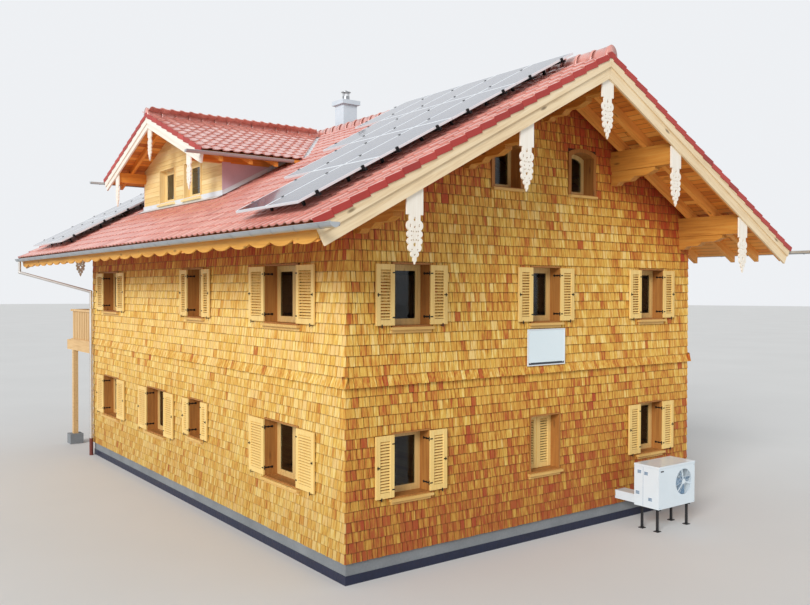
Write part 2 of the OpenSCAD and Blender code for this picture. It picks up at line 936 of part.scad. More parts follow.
module roof_tiles_right() {
    color("firebrick")
        difference() {
            along_y(roof_y0, roof_y1)
                slope_layer(0, eaves_x, -tile_t, 0);
            stack_space();
        }
}

// Section of a ridge tile over a ridge whose tiles meet at height z, on slope a
module ridge_section(z, a) {
    r = ridge_tile_w / 2;
    c = z + ridge_tile_h - r;
    difference() {
        union() {
            translate([0, c]) circle(r);
            translate([-r, z - r]) square([2 * r, c - z + r]);
        }
        translate([0, c]) circle(r - ridge_tile_t);
        translate([-r + ridge_tile_t, z - 2 * r]) square([2 * (r - ridge_tile_t), c - z + 2 * r]);
        polygon([[-2 * r, z - 2 * r * tan(a)], [0, z], [2 * r, z - 2 * r * tan(a)],
            [2 * r, z - 4 * r], [-2 * r, z - 4 * r]]);
    }
}

module ridge_tiles() {
    color("firebrick") {
        difference() {
            along_y(roof_y0, roof_y1)
                ridge_section(roof_z(0, -tile_t - seat_gap), roof_pitch);
            stack_space();
        }
        difference() {
            translate([0, dormer_mid, 0])
                along_x(-dormer_front_x - barge_all, -ridge_tile_w / 2)
                    ridge_section(dormer_z(0, -tile_t - seat_gap), dormer_pitch);
            mirror([1, 0, 0])
                along_y(dormer_mid - dormer_eave, dormer_mid + dormer_eave)
                    slope_layer(0, eaves_x, -tile_t - seat_gap, ridge_tile_w);
        }
    }
}

// Bargeboards and pendants

module barge_pair(t, h, pitch, top, reach) {
    both_sides()
        along_y(-t, 0)
            slope_board(ridge_gap / 2, reach, seat_gap, h, pitch, top);
}

module front_bargeboards() {
    color("wheat")
        translate([0, deck_y0, 0]) {
            barge_pair(barge_t, barge_h, roof_pitch, ridge_z, eaves_x);
            translate([0, -barge_t, 0])
                barge_pair(barge_cover_t, barge_cover_h, roof_pitch, ridge_z, eaves_x);
        }
}

module back_bargeboards() {
    color("wheat")
        translate([0, deck_y1, 0])
            mirror([0, 1, 0]) {
                barge_pair(barge_t, barge_h, roof_pitch, ridge_z, eaves_x);
                translate([0, -barge_t, 0])
                    barge_pair(barge_cover_t, barge_cover_h, roof_pitch, ridge_z, eaves_x);
            }
}

// Outline of a sawn pendant board of width w and length l, hanging from 0.
// Lobes are [offset, depth, radius] and holes [offset, depth, size], in shares of w and l.
module pendant_outline(w, l) {
    lobes = [[0.24, 0.5, 0.26], [0.3, 0.61, 0.17], [0.3, 0.7, 0.16], [0.22, 0.785, 0.19],
        [0.09, 0.868, 0.15], [0, 0.945, 0.1]];
    holes = [[0, 0.4, 0.6], [0, 0.425, 1], [0, 0.52, 0.8], [0, 0.745, 1.3], [0, 0.876, 0.75],
        [0.27, 0.49, 0.6], [0.27, 0.51, 0.6], [0.09, 0.578, 0.6], [0.21, 0.575, 0.6],
        [0.19, 0.63, 0.6], [0.09, 0.685, 0.6], [0.21, 0.69, 0.6], [0.17, 0.81, 0.6]];
    difference() {
        union() {
            translate([-w / 2, -l * 0.36]) square([w, l * 0.36]);
            translate([-w / 3, -l * 0.8]) square([w * 2 / 3, l * 0.5]);
            translate([-w / 10, -l * 0.94]) square([w / 5, l * 0.2]);
            polygon([[-w * 0.08, -l * 0.94], [w * 0.08, -l * 0.94], [0, -l]]);
            for (k = lobes)
                for (s = k[0] == 0 ? [1] : [-1, 1])
                    translate([s * k[0] * w, -k[1] * l]) circle(k[2] * w);
        }
        for (k = holes)
            for (s = k[0] == 0 ? [1] : [-1, 1])
                translate([s * k[0] * w, -k[1] * l]) circle(pendant_hole_r * k[2] * w / pendant_w);
    }
}

module pendant_row(y) {
    for (x = [-eaves_purlin_x, -middle_purlin_x, 0, middle_purlin_x, eaves_purlin_x])
        translate([x, 0, roof_z(x, 0) - pendant_drop + pendant_l])
            along_y(y, y + pendant_t)
                pendant_outline(pendant_w, pendant_l);
}

module front_pendants() {
    color("linen") pendant_row(deck_y0);
}

module back_pendants() {
    color("linen") pendant_row(deck_y1 - pendant_t);
}

// The eaves

module eaves_boards() {
    n = scallop_count;
    l = deck_y1 - deck_y0;
    p = l / n;
    x1 = eaves_x - eaves_board_in;
    top = roof_z(x1, under_deck);
    cusp = top - eaves_board_h + scallop_rise;
    r = (p * p / 4 + scallop_rise * scallop_rise) / (2 * scallop_rise);
    color("orange")
        mirror([1, 0, 0])
            intersection() {
                along_y(deck_y0, deck_y1)
                    polygon([[x1 - eaves_board_t, top - 2 * eaves_board_h], [x1, top - 2 * eaves_board_h],
                        [x1, roof_z(x1, under_deck)],
                        [x1 - eaves_board_t, roof_z(x1 - eaves_board_t, under_deck)]]);
                along_x(x1 - eaves_board_t, x1)
                    union() {
                        // a little below the cusps, so that the lobes' arcs stay apart
                        translate([deck_y0, cusp - 2]) square([l, 2 * eaves_board_h]);
                        for (i = [0 : n - 1])
                            translate([deck_y0 + (i + 0.5) * p, cusp])
                                intersection() {
                                    translate([0, r - scallop_rise]) circle(r, $fn = 96);
                                    translate([-p / 2, -scallop_rise]) square([p, scallop_rise + 1]);
                                }
                    }
            }
}

// A half-round gutter along Y, with its back flange at x and its rim at z
module gutter(x, z, r, y0, y1) {
    color("lightsteelblue")
        difference() {
            union() {
                along_y(y0, y1)
                    intersection() {
                        translate([x + r, z]) circle(r, $fn = 64);
                        translate([x, z - r]) square([2 * r, r]);
                    }
                box([x, y0, z - gutter_flange], [x + gutter_t, y1, z]);
            }
            along_y(y0 + gutter_t, y1 - gutter_t)
                translate([x + r, z]) circle(r - gutter_t, $fn = 64);
        }
}

module gutter_left() {
    mirror([1, 0, 0]) gutter_right();
}

module gutter_right() {
    gutter(eaves_x, gutter_z, gutter_r, roof_y0 - gutter_past, roof_y1);
}

// The dormer's gutters end just above the main roof's tiles
module dormer_gutters() {
    r = dormer_gutter_r;
    z = dormer_z(dormer_eave, 0) - gutter_drop;
    x = (ridge_z + tile_t / cos_p - z + r) / tan_p + r;
    for (s = [0, 1])
        translate([0, dormer_mid, 0])
            mirror([0, s, 0])
                rotate([0, 0, 90])
                    gutter(dormer_eave, z, r, x, dormer_front_x + barge_all + dormer_gutter_past);
}

// A round bar from a to b
module bar(a, b, r) {
    d = b - a;
    h = norm(d);
    translate(a)
        rotate([0, acos(d[2] / h), atan2(d[1], d[0])])
            cylinder(h = h, r = r);
}

module downpipes() {
    r = downpipe_r;
    y0 = roof_y1 - outlet_in;
    y1 = half_l - downpipe_in;
    x1 = face_x + drip_out + pipe_gap + r;
    z0 = gutter_z - gutter_r + gutter_t;
    z1 = z0 - pipe_top;
    z2 = z1 - pipe_slant;
    color("gainsboro")
        both_sides()
            difference() {
                union() {
                    bar([gutter_x, y0, z1], [gutter_x, y0, z0], r);
                    translate([gutter_x, y0, z1]) sphere(r + elbow_extra);
                    bar([gutter_x, y0, z1], [x1, y1, z2], r);
                    translate([x1, y1, z2]) sphere(r + elbow_extra);
                    bar([x1, y1, standpipe_h - strap_h], [x1, y1, z2], r);
                    translate([x1, y1, 0]) cylinder(h = standpipe_h, r = standpipe_r);
                    for (z = [standpipe_h, upper_z + drip_h])
                        translate([face_x, y1 - strap_h / 2, z + strap_up])
                            cube([x1 - face_x, strap_h, strap_h]);
                }
                along_y(y0 - 2 * r, y0 + 2 * r)
                    translate([gutter_x, gutter_z]) circle(gutter_r, $fn = 64);
            }
}

// Windows and shutters

// Puts its children on each wall, drawn as seen head-on: X along the wall, Z up, Y inwards
module on_front() {
    translate([0, -face_y, 0]) children();
}

module on_back() {
    translate([0, face_y, 0]) mirror([0, 1, 0]) children();
}

module on_left() {
    translate([-face_x, 0, 0]) rotate([0, 0, -90]) children();
}

module on_right() {
    translate([face_x, 0, 0]) rotate([0, 0, 90]) children();
}

module on_dormer() {
    translate([-dormer_x, dormer_mid, 0]) rotate([0, 0, -90]) children();
}

dormer_wins = [for (s = [-1, 1]) [s * dormer_win_off, dormer_win_z, dormer_win_w, dormer_win_h, false]];

// Hands each rectangular window to its children as $w
module every_window() {
    on_front()
        for ($w = front_wins)
            children();
    on_back()
        for ($w = back_wins)
            children();
    on_left()
        for (w = side_wins)
            let ($w = [-w[0], w[1], w[2], w[3], w[4]])
                children();
    on_right()
        for ($w = side_wins)
            children();
}

module win_box(w, g, y0, y1) {
    box([w[0] - w[2] / 2 - g, y0, w[1] - g], [w[0] + w[2] / 2 + g, y1, w[1] + w[3] + g]);
}

module lining(w, depth) {
    difference() {
        win_box(w, lining_t, -lining_out, depth);
        win_box(w, 0, -lining_out - 1, depth + 1);
    }
}

module casement(w, depth) {
    y0 = depth;
    y1 = depth + frame_t;
    ys = y0 + (frame_t - sash_t) / 2;
    two = w[2] > two_sash_w;
    difference() {
        win_box(w, lining_t, y0, y1);
        win_box(w, -frame_w, y0 - 1, y1 + 1);
    }
    difference() {
        win_box(w, -frame_w, ys, ys + sash_t);
        win_box(w, -frame_w - sash_w, y0 - 1, y1 + 1);
    }
    if (two)
        box([w[0] - sash_w, ys, w[1] + frame_w],
            [w[0] + sash_w, ys + sash_t, w[1] + w[3] - frame_w]);
}

module pane(w, depth) {
    ym = depth + frame_t / 2;
    difference() {
        win_box(w, -frame_w - sash_w, ym - glass_t / 2, ym + glass_t / 2);
        if (w[2] > two_sash_w)
            box([w[0] - sash_w, ym - glass_t, w[1]], [w[0] + sash_w, ym + glass_t, w[1] + w[3]]);
    }
}

// Places its children head-on at each attic window
module every_attic_window() {
    for (s = [-1, 1]) {
        on_front() translate([s * attic_win_x, 0, 0]) children();
        on_back() translate([s * attic_win_x, 0, 0]) children();
    }
}

module window_linings() {
    color("peru") {
        every_window() lining($w, lining_in);
        on_dormer() for (w = dormer_wins) lining(w, dormer_wall_t - frame_t);
        every_attic_window()
            difference() {
                union() {
                    along_y(-lining_out, lining_in) attic_outline(lining_t);
                    along_y(-lining_out, 0) attic_outline(casing_w);
                }
                along_y(-lining_out - 1, lining_in + 1) attic_outline(0);
                along_y(-lining_out - 1, 1)
                    translate([-house_w / 2, attic_win_z - lining_t - casing_w])
                        square([house_w, casing_w]);
            }
    }
}

module window_frames() {
    color("saddlebrown") {
        every_window() casement($w, lining_in);
        on_dormer() for (w = dormer_wins) casement(w, dormer_wall_t - frame_t);
        every_attic_window()
            difference() {
                along_y(lining_in, lining_in + frame_t) attic_outline(lining_t);
                along_y(lining_in - 1, lining_in + frame_t + 1) attic_outline(-frame_w - sash_w / 2);
            }
    }
}

module window_glass() {
    color("lightblue") {
        every_window() pane($w, lining_in);
        on_dormer() for (w = dormer_wins) pane(w, dormer_wall_t - frame_t);
        every_attic_window()
            along_y(lining_in + (frame_t - glass_t) / 2, lining_in + (frame_t + glass_t) / 2)
                attic_outline(-frame_w - sash_w / 2);
    }
}

module sill(x, z, w) {
    translate([x - w / 2 - sill_side, -sill_out, z - lining_t - sill_t])
        cube([w + 2 * sill_side, sill_out, sill_t]);
}

module window_sills() {
    color("peru") {
        every_window() sill($w[0], $w[1], $w[2]);
        every_attic_window() sill(0, attic_win_z, attic_win_w);
        on_dormer() for (w = dormer_wins) sill(w[0], w[1], w[2]);
    }
}

// A leaf from x0 to x1, with its back at y and a sunk louvred field
module leaf(x0, x1, y, z0, z1) {
    sink = (leaf_t - field_t) / 2;
    difference() {
        box([x0, y - leaf_t, z0], [x1, y, z1]);
        for (a = [y - leaf_t - 1, y - sink])
            box([x0 + stile_w, a, z0 + rail_h], [x1 - stile_w, a + sink + 1, z1 - rail_h]);
    }
}

module shutters() {
    color("cornsilk")
        every_window() {
            w = $w;
            z0 = w[1] + leaf_gap;
            z1 = w[1] + w[3] - leaf_gap;
            lw = w[2] / 2 - leaf_gap / 2;
            y = lining_in - leaf_gap;
            if (w[4]) {
                leaf(w[0] - w[2] / 2, w[0] - w[2] / 2 + lw, y, z0, z1);
                leaf(w[0] + w[2] / 2 - lw, w[0] + w[2] / 2, y, z0, z1);
                box([w[0] + leaf_gap / 2 - strip_w / 2, y - leaf_t - strip_t, z0],
                    [w[0] + leaf_gap / 2 + strip_w / 2, y - leaf_t, z1]);
            } else {
                leaf(w[0] - w[2] / 2 - lw, w[0] - w[2] / 2, -lining_out, z0, z1);
                leaf(w[0] + w[2] / 2, w[0] + w[2] / 2 + lw, -lining_out, z0, z1);
            }
        }
}

// The dormer

// The part of the dormer roof between depths d0 and d1, out to x on the front
module dormer_layer(d0, d1, x, lift = seat_gap) {
    intersection() {
        above_deck(lift);
        translate([0, dormer_mid, 0])
            along_x(-x, -ridge_tile_w / 2 - seat_gap)
                for (s = [0, 1])
                    mirror([s, 0])
                        polygon([
                            [0, dormer_z(0, d0)],
                            [dormer_eave, dormer_z(dormer_eave, d0)],
                            [dormer_eave, dormer_z(dormer_eave, d1)],
                            [0, dormer_z(0, d1)]]);
    }
}

module dormer_purlin_sections() {
    for (v = [-dormer_purlin_off, 0, dormer_purlin_off]) {
        b = dormer_z(v, dormer_under) - dormer_purlin_h;
        polygon([
            [v - dormer_purlin_w / 2, b], [v + dormer_purlin_w / 2, b],
            [v + dormer_purlin_w / 2, dormer_z(v + dormer_purlin_w / 2, dormer_under)],
            [v, dormer_z(v, dormer_under)],
            [v - dormer_purlin_w / 2, dormer_z(v - dormer_purlin_w / 2, dormer_under)]]);
    }
}

module dormer_front_wall() {
    color("khaki")
        intersection() {
            above_deck();
            translate([0, dormer_mid, 0])
                along_x(-dormer_x, -dormer_x + dormer_wall_t)
                    difference() {
                        polygon([
                            [-dormer_half, 0], [dormer_half, 0],
                            [dormer_half, dormer_z(dormer_half, dormer_under_deck)],
                            [0, dormer_z(0, dormer_under_deck)],
                            [-dormer_half, dormer_z(dormer_half, dormer_under_deck)]]);
                        dormer_purlin_sections();
                        for (w = dormer_wins)
                            translate([w[0] - w[2] / 2 - lining_t, w[1] - lining_t])
                                square([w[2] + 2 * lining_t, w[3] + 2 * lining_t]);
                    }
        }
}

module dormer_cheeks() {
    v0 = dormer_half - dormer_wall_t;
    color("whitesmoke")
        difference() {
            intersection() {
                above_deck();
                translate([0, dormer_mid, 0])
                    along_x(-dormer_x + dormer_wall_t, -dormer_hole_top)
                        for (s = [0, 1])
                            mirror([s, 0])
                                difference() {
                                    polygon([[v0, 0], [dormer_half, 0],
                                        [dormer_half, dormer_z(dormer_half, dormer_under_deck)],
                                        [v0, dormer_z(v0, dormer_under_deck)]]);
                                    dormer_purlin_sections();
                                }
            }
            dormer_rafter_bars();
        }
}

module dormer_purlins() {
    color("orange")
        intersection() {
            above_deck();
            translate([0, dormer_mid, 0])
                along_x(-dormer_front_x + pendant_t, 0)
                    dormer_purlin_sections();
        }
}

dormer_rafters_x = concat([-dormer_x - dormer_overhang / 2],
    [for (i = [0 : 4])
        -dormer_x + dormer_wall_t + dormer_rafter_in + dormer_rafter_w / 2 + i * dormer_rafter_pitch]);

module dormer_rafter_bars() {
    intersection() {
        above_deck();
        translate([0, dormer_mid, 0])
            for (x = dormer_rafters_x)
                along_x(x - dormer_rafter_w / 2, x + dormer_rafter_w / 2)
                    for (s = [0, 1])
                        mirror([s, 0])
                            polygon([
                                [ridge_gap / 2, dormer_z(ridge_gap / 2, dormer_under_deck)],
                                [dormer_eave, dormer_z(dormer_eave, dormer_under_deck)],
                                [dormer_eave, dormer_z(dormer_eave, dormer_rafter_foot)],
                                [ridge_gap / 2, dormer_z(ridge_gap / 2, dormer_rafter_foot)]]);
    }
}

module dormer_rafters() {
    color("orange") dormer_rafter_bars();
}

module dormer_roof_boards() {
    color("sandybrown") dormer_layer(0, dormer_deck_t, dormer_front_x);
}

module dormer_roof_tiles() {
    color("firebrick") dormer_layer(-tile_t, 0, dormer_front_x + barge_all);
}

module dormer_bargeboards() {
    color("wheat")
        translate([-dormer_front_x, dormer_mid, 0])
            rotate([0, 0, -90]) {
                barge_pair(barge_t, dormer_barge_h, dormer_pitch, dormer_top, dormer_eave);
                translate([0, -barge_t, 0])
                    barge_pair(barge_cover_t, barge_cover_h, dormer_pitch, dormer_top, dormer_eave);
            }
}

module dormer_pendants() {
    color("linen")
        translate([0, dormer_mid, 0])
            for (v = [-dormer_purlin_off, 0, dormer_purlin_off])
                translate([0, v, dormer_z(v, dormer_under)])
                    along_x(-dormer_front_x, -dormer_front_x + pendant_t)
                        pendant_outline(dormer_pendant_w, dormer_pendant_l);
}

// The chimney

module chimney() {
    color("ivory")
        difference() {
            union() {
                stack_space();
                translate([chimney_x - cap_w / 2, chimney_mid - cap_w / 2, stack_z])
                    cube([cap_w, cap_w, cap_t]);
            }
            translate([chimney_x, chimney_mid, plinth_h + storey_h / 2])
                cylinder(h = stack_z, r = flue_r);
        }
}

module chimney_cowl() {
    t = cowl_t;
    z = stack_z + cap_t;
    color("silver")
        translate([chimney_x, chimney_mid, z]) {
            difference() {
                cylinder(h = cowl_h * 0.45, r = flue_r + t);
                translate([0, 0, -1]) cylinder(h = cowl_h, r = flue_r);
            }
            for (a = [0 : 90 : 270])
                rotate([0, 0, a])
                    translate([flue_r, -10, 0])
                        cube([t, 20, cowl_h * 0.82]);
            translate([0, 0, cowl_h * 0.8])
                cylinder(h = t, r = cowl_r);
            translate([0, 0, cowl_h * 0.8])
                cylinder(h = cowl_h * 0.2, r1 = cowl_r * 0.8, r2 = t);
        }
}

// The solar arrays

// Draws its children on the left slope, X up the slope from the ridge, Z square to it
module left_slope() {
    translate([0, 0, ridge_z]) rotate([0, -roof_pitch, 0]) children();
}

row_pitch = module_h + module_gap;
col_pitch = module_w + module_gap;
front_array_y = -half_l - array_front;
back_array_y = half_l + array_back;

array_low = eaves_x / cos_p - array_in;
module_rows = floor((array_low - array_clear + module_gap) / row_pitch);

// Distance up the slope of row r's lower edge, measured from the ridge
function row_x(r) = -array_low + r * row_pitch;

// Half width of the dormer roof where it is widest beside row r
function dormer_reach(r) = min(dormer_eave, max(0, (-row_x(r) * sin_p - dormer_low) / tan_d));

// Number of modules that fit in row r, where a length of room is free beside the dormer's middle
function fit_n(r, room) =
    floor((room - dormer_reach(r) - 2 * dormer_gutter_r - array_clear + module_gap) / col_pitch);
function front_n(r) = min(module_first + r, fit_n(r, dormer_mid - front_array_y));
function back_n(r) = fit_n(r, back_array_y - dormer_mid);
function run_l(n) = n * col_pitch - module_gap;

// Places its children at each row of both arrays, with the row's count $n and its start $y
module every_row() {
    left_slope()
        for (r = [0 : module_rows - 1])
            translate([row_x(r), 0, 0]) {
                let ($n = front_n(r), $y = front_array_y) children();
                let ($n = back_n(r), $y = back_array_y - run_l($n)) children();
            }
}

module solar_modules() {
    color("slategray")
        every_row()
            for (c = [0 : $n - 1])
                translate([0, $y + c * col_pitch, array_lift - module_t])
                    cube([module_h, module_w, module_t]);
}

module solar_rails() {
    t = solar_rail;
    z0 = tile_t + seat_gap;
    z1 = array_lift - module_t - t;
    color("black")
        every_row()
            for (k = [0.22, 0.78])
                translate([k * module_h - t / 2, $y, 0]) {
                    translate([0, -rail_past, z1])
                        cube([t, run_l($n) + 2 * rail_past, t]);
                    for (c = [0 : $n - 1])
                        translate([0, (c + 0.5) * col_pitch - t, z0])
                            cube([t, t, z1 - z0]);
                }
}

// The balcony

beams_x = [for (s = [-1, -1 / 3, 1 / 3, 1]) s * (half_w - balcony_beam_w / 2)];

module balcony_frame() {
    py = balcony_y - post_in;
    color("tan")
        for (x = beams_x) {
            box([x - balcony_beam_w / 2, face_y, beam_z],
                [x + balcony_beam_w / 2, balcony_y + beam_past, beam_z + balcony_beam_h]);
            box([x - post_w / 2, py - post_w / 2, footing_h],
                [x + post_w / 2, py + post_w / 2, beam_z]);
        }
}

module balcony_floor() {
    y0 = half_l + drip_out;
    p = (balcony_y - y0) / balcony_board_n;
    color("tan")
        for (i = [0 : balcony_board_n - 1])
            box([-half_w, y0 + i * p, balcony_z - balcony_board_t],
                [half_w, y0 + (i + 1) * p - balcony_gap, balcony_z]);
}

module balcony_railing() {
    t = railing_board_t;
    z1 = balcony_z + railing_h - handrail_t;
    y0 = half_l + drip_out;
    l = balcony_y - y0;
    // A row of n boards along X over length a, below the middle of a handrail
    module boards(n, a) {
        for (i = [0 : n - 1])
            translate([(i + 0.5) * a / n - railing_board_w / 2, (handrail_w - t) / 2, balcony_z])
                cube([railing_board_w, t, z1 - balcony_z]);
    }
    color("navajowhite") {
        both_sides()
            translate([half_w, y0, 0])
                rotate([0, 0, 90]) {
                    translate([0, 0, z1]) cube([l, handrail_w, handrail_t]);
                    boards(railing_side_n, l - (handrail_w + t) / 2);
                }
        translate([-half_w, balcony_y - handrail_w, 0]) {
            translate([0, 0, z1]) cube([house_w, handrail_w, handrail_t]);
            translate([(handrail_w + t) / 2, 0, 0])
                boards(railing_front_n, house_w - handrail_w - t);
        }
    }
}

module post_footings() {
    color("darkgray")
        for (x = beams_x)
            translate([x - footing_w / 2, balcony_y - post_in - footing_w / 2, 0])
                cube([footing_w, footing_w, footing_h]);
}

// The doors

module doors() {
    color("sienna")
        on_back()
            for (z = door_bottoms)
                difference() {
                    box([-door_w / 2, -lining_out, z], [door_w / 2, wall_t, z + door_h]);
                    box([-door_w / 2 + frame_w, -lining_out - 1, z],
                        [door_w / 2 - frame_w, door_in, z + door_h - frame_w]);
                    box([-door_w / 2 + frame_w, door_in + door_t, z],
                        [door_w / 2 - frame_w, wall_t + 1, z + door_h - frame_w]);
                }
}

// The wall board

module wall_board() {
    y = shingle_t + board_off;
    color("whitesmoke")
        on_front() {
            box([-board_w / 2, -y - board_t, board_z], [board_w / 2, -y, board_z + board_h]);
            for (s = [-1, 1])
                for (z = [board_z + board_block, board_z + board_h - 2 * board_block])
                    translate([s * (board_w / 2 - board_block) - board_block / 2, -y, z])
                        cube([board_block, y, board_block]);
        }
}

// The heat pump

// Turns its children so that their Z axis points out of the front of the case
module out_of_case() {
    translate([fan_x, pump_front, fan_z]) rotate([90, 0, 0]) children();
}

guard_back = -guard_t;
fan_front = guard_back - fan_clear;
hub_back = fan_front - hub_l;
shaft_front = fan_front - hub_cap - shaft_end;

module pump_case() {
    color("white") {
        difference() {
            box([pump_x, pump_front, pump_z], [pump_x + pump_w, pump_back, pump_z + pump_h]);
            out_of_case()
                translate([0, 0, -fan_depth])
                    cylinder(h = fan_depth + 1, r = fan_mouth_r, $fn = 96);
        }
        out_of_case() {
            translate([0, 0, -fan_depth - 1]) {
                cylinder(h = fan_depth + 1 + hub_back - motor_gap, r = motor_r);
                cylinder(h = fan_depth + 1 + shaft_front, r = shaft_r);
            }
        }
    }
}

module pump_fan() {
    color("dimgray")
        out_of_case()
            difference() {
                union() {
                    translate([0, 0, hub_back]) cylinder(h = hub_l, r = hub_r);
                    intersection() {
                        translate([0, 0, hub_back]) cylinder(h = hub_l, r = fan_r, $fn = 96);
                        for (i = [0 : blade_n - 1])
                            rotate([0, 0, i * 360 / blade_n])
                                translate([0, 0, hub_back + hub_l / 2])
                                    rotate([blade_tilt, 0, 0])
                                        translate([hub_r - 12, -blade_w / 2, -blade_t / 2])
                                            cube([fan_r, blade_w, blade_t]);
                    }
                }
                translate([0, 0, hub_back - 1]) cylinder(h = hub_l - hub_cap + 1, r = shaft_r + shaft_play);
            }
}

module pump_guard() {
    color("white")
        out_of_case()
            translate([0, 0, guard_back]) {
                difference() {
                    cylinder(h = guard_t, r = fan_mouth_r, $fn = 96);
                    translate([0, 0, -1]) cylinder(h = guard_t + 2, r = fan_mouth_r - guard_ring, $fn = 96);
                }
                for (i = [0 : guard_arms - 1])
                    rotate([0, 0, 105 + i * 360 / guard_arms])
                        translate([0, -guard_t, 0])
                            cube([fan_mouth_r - guard_ring / 2, 2 * guard_t, guard_t]);
                cylinder(h = guard_t, r = hub_r / 2);
            }
}

module pump_stand() {
    ys = [pump_front + leg_in, pump_back - leg_in];
    color("dimgray")
        for (x = [pump_x + leg_in, pump_x + pump_w - leg_in]) {
            translate([x - leg_w / 2, pump_front + leg_w, pump_z - leg_w])
                cube([leg_w, pump_d - 2 * leg_w, leg_w]);
            for (y = ys) {
                translate([x - leg_w / 2, y - leg_w / 2, 0]) cube([leg_w, leg_w, pump_z - leg_w]);
                translate([x - foot_w / 2, y - foot_w / 2, 0]) cube([foot_w, foot_w, foot_t]);
            }
        }
}

module pump_duct() {
    x0 = pump_x + leg_in;
    z0 = pump_z;
    color("white")
        difference() {
            box([x0, pump_back, z0], [x0 + duct_w, -face_y, z0 + duct_h]);
            box([x0 + duct_t, pump_back - 1, z0 + duct_t],
                [x0 + duct_w - duct_t, -face_y + 1, z0 + duct_h - duct_t]);
        }
}

foundation();
membrane();
ground_floor();
upper_floor();
attic_floor();
front_wall();
back_wall();
left_wall();
right_wall();
drip_course();
purlins();
purlin_corbels();
rafters_left();
rafters_right();
dormer_trimmers();
roof_boards_left();
roof_boards_right();
roof_tiles_left();
roof_tiles_right();
ridge_tiles();
front_bargeboards();
back_bargeboards();
front_pendants();
back_pendants();
eaves_boards();
gutter_left();
gutter_right();
dormer_gutters();
downpipes();
window_linings();
window_frames();
window_glass();
window_sills();
shutters();
dormer_front_wall();
dormer_cheeks();
dormer_purlins();
dormer_rafters();
dormer_roof_boards();
dormer_roof_tiles();
dormer_bargeboards();
dormer_pendants();
chimney();
chimney_cowl();
solar_modules();
solar_rails();
balcony_frame();
balcony_floor();
balcony_railing();
post_footings();
doors();
wall_board();
pump_case();
pump_fan();
pump_guard();
pump_stand();
pump_duct();
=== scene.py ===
import math
import random
import bpy
import bmesh
from mathutils import Matrix, Vector


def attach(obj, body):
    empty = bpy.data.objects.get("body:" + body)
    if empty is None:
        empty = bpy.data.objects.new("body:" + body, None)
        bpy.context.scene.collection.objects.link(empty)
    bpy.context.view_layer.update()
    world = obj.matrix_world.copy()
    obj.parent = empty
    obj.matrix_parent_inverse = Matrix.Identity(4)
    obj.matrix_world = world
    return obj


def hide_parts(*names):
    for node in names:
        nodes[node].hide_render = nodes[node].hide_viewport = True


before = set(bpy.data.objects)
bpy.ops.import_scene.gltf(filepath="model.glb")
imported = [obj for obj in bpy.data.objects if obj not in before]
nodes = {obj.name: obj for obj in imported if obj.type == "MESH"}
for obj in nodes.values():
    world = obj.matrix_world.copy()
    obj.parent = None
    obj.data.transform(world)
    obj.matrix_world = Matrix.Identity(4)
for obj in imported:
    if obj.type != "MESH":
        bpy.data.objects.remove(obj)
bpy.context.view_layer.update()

scene = bpy.context.scene

# the house in metres: front gable towards -Y, dormer and solar modules on the -X slope
house = {
    "halfWidth": 4.500, "halfLength": 6.685, "faceX": 4.480, "faceY": 6.665, "beltFoot": 3.170,
    "sideTop": 6.290, "gableTop": 8.720, "pitch": math.radians(28.3), "ridgeZ": 8.81523, "eavesX": 5.946,
    "deckThick": 0.080, "tileFront": -8.225, "tileBack": 8.915, "pastEaves": 0.035,
    "dormerY": 1.515, "dormerHalf": 2.420, "dormerEave": 3.170, "dormerFace": 3.950, "dormerPastEaves": 0.030,
    "dormerFront": 4.768, "dormerPitch": math.radians(21), "dormerTop": 8.77523,
}
roofTan, roofCos, roofSin = math.tan(house["pitch"]), math.cos(house["pitch"]), math.sin(house["pitch"])
dormTan, dormCos, dormSin = (f(house["dormerPitch"]) for f in (math.tan, math.cos, math.sin))

# windows as (middle along the wall, sill height, width, height, has shutters that open)
gableWindows = [(s * 3.190, z, 0.750, h, True) for s in (-1, 1) for z, h in ((1.300, 1.040), (4.130, 1.020))]
frontWindows = gableWindows + [(0.0, 4.130, 0.750, 1.020, True), (0.0, 1.300, 0.750, 1.040, False)]
sideWindows = [
    (-4.575, 1.300, 1.210, 1.040, True), (-4.575, 4.130, 1.210, 1.020, True),
    (-0.735, 1.540, 0.660, 0.800, True), (-0.735, 4.130, 0.800, 1.020, True),
    (1.635, 1.300, 1.140, 1.040, True),
    (5.025, 1.300, 1.150, 1.040, True), (5.025, 4.130, 1.150, 1.020, True),
]


def screenColour(red, green, blue):
    # a colour as the screen shows it, 0 to 255, in the values that a shader takes
    return tuple(c / 3294.6 if c < 11 else ((c / 255 + 0.055) / 1.055) ** 2.4 for c in (red, green, blue)) + (1.0,)


def darker(colour, share):
    return tuple(c * share for c in screenColour(*colour)[:3]) + (1.0,)


def feed(tree, node, inputs):
    # links what is a socket, and sets what is a value
    for key, value in inputs.items():
        if isinstance(value, bpy.types.NodeSocket):
            tree.links.new(value, node.inputs[key])
        else:
            node.inputs[key].default_value = value


def addNode(tree, kind, inputs=None, **settings):
    node = tree.nodes.new("ShaderNode" + kind)
    for key, value in settings.items():
        setattr(node, key, value)
    feed(tree, node, inputs or {})
    return node.outputs


def sums(tree, operation, first, second=0.0, third=0.0, clamp=False):
    return addNode(tree, "Math", {0: first, 1: second, 2: third}, operation=operation, use_clamp=clamp)[0]


def plus(tree, first, second, clamp=False):
    return sums(tree, "ADD", first, second, clamp=clamp)


def times(tree, first, second):
    return sums(tree, "MULTIPLY", first, second)


def splitAxes(tree, vector):
    return addNode(tree, "SeparateXYZ", {0: vector})


def joinAxes(tree, values):
    return addNode(tree, "CombineXYZ", dict(enumerate(values)))[0]


def fade(tree, value, start, end, first=0.0, last=1.0):
    # goes from first to last while the value goes from start to end
    return addNode(tree, "MapRange", {0: value, 1: start, 2: end, 3: first, 4: last})[0]


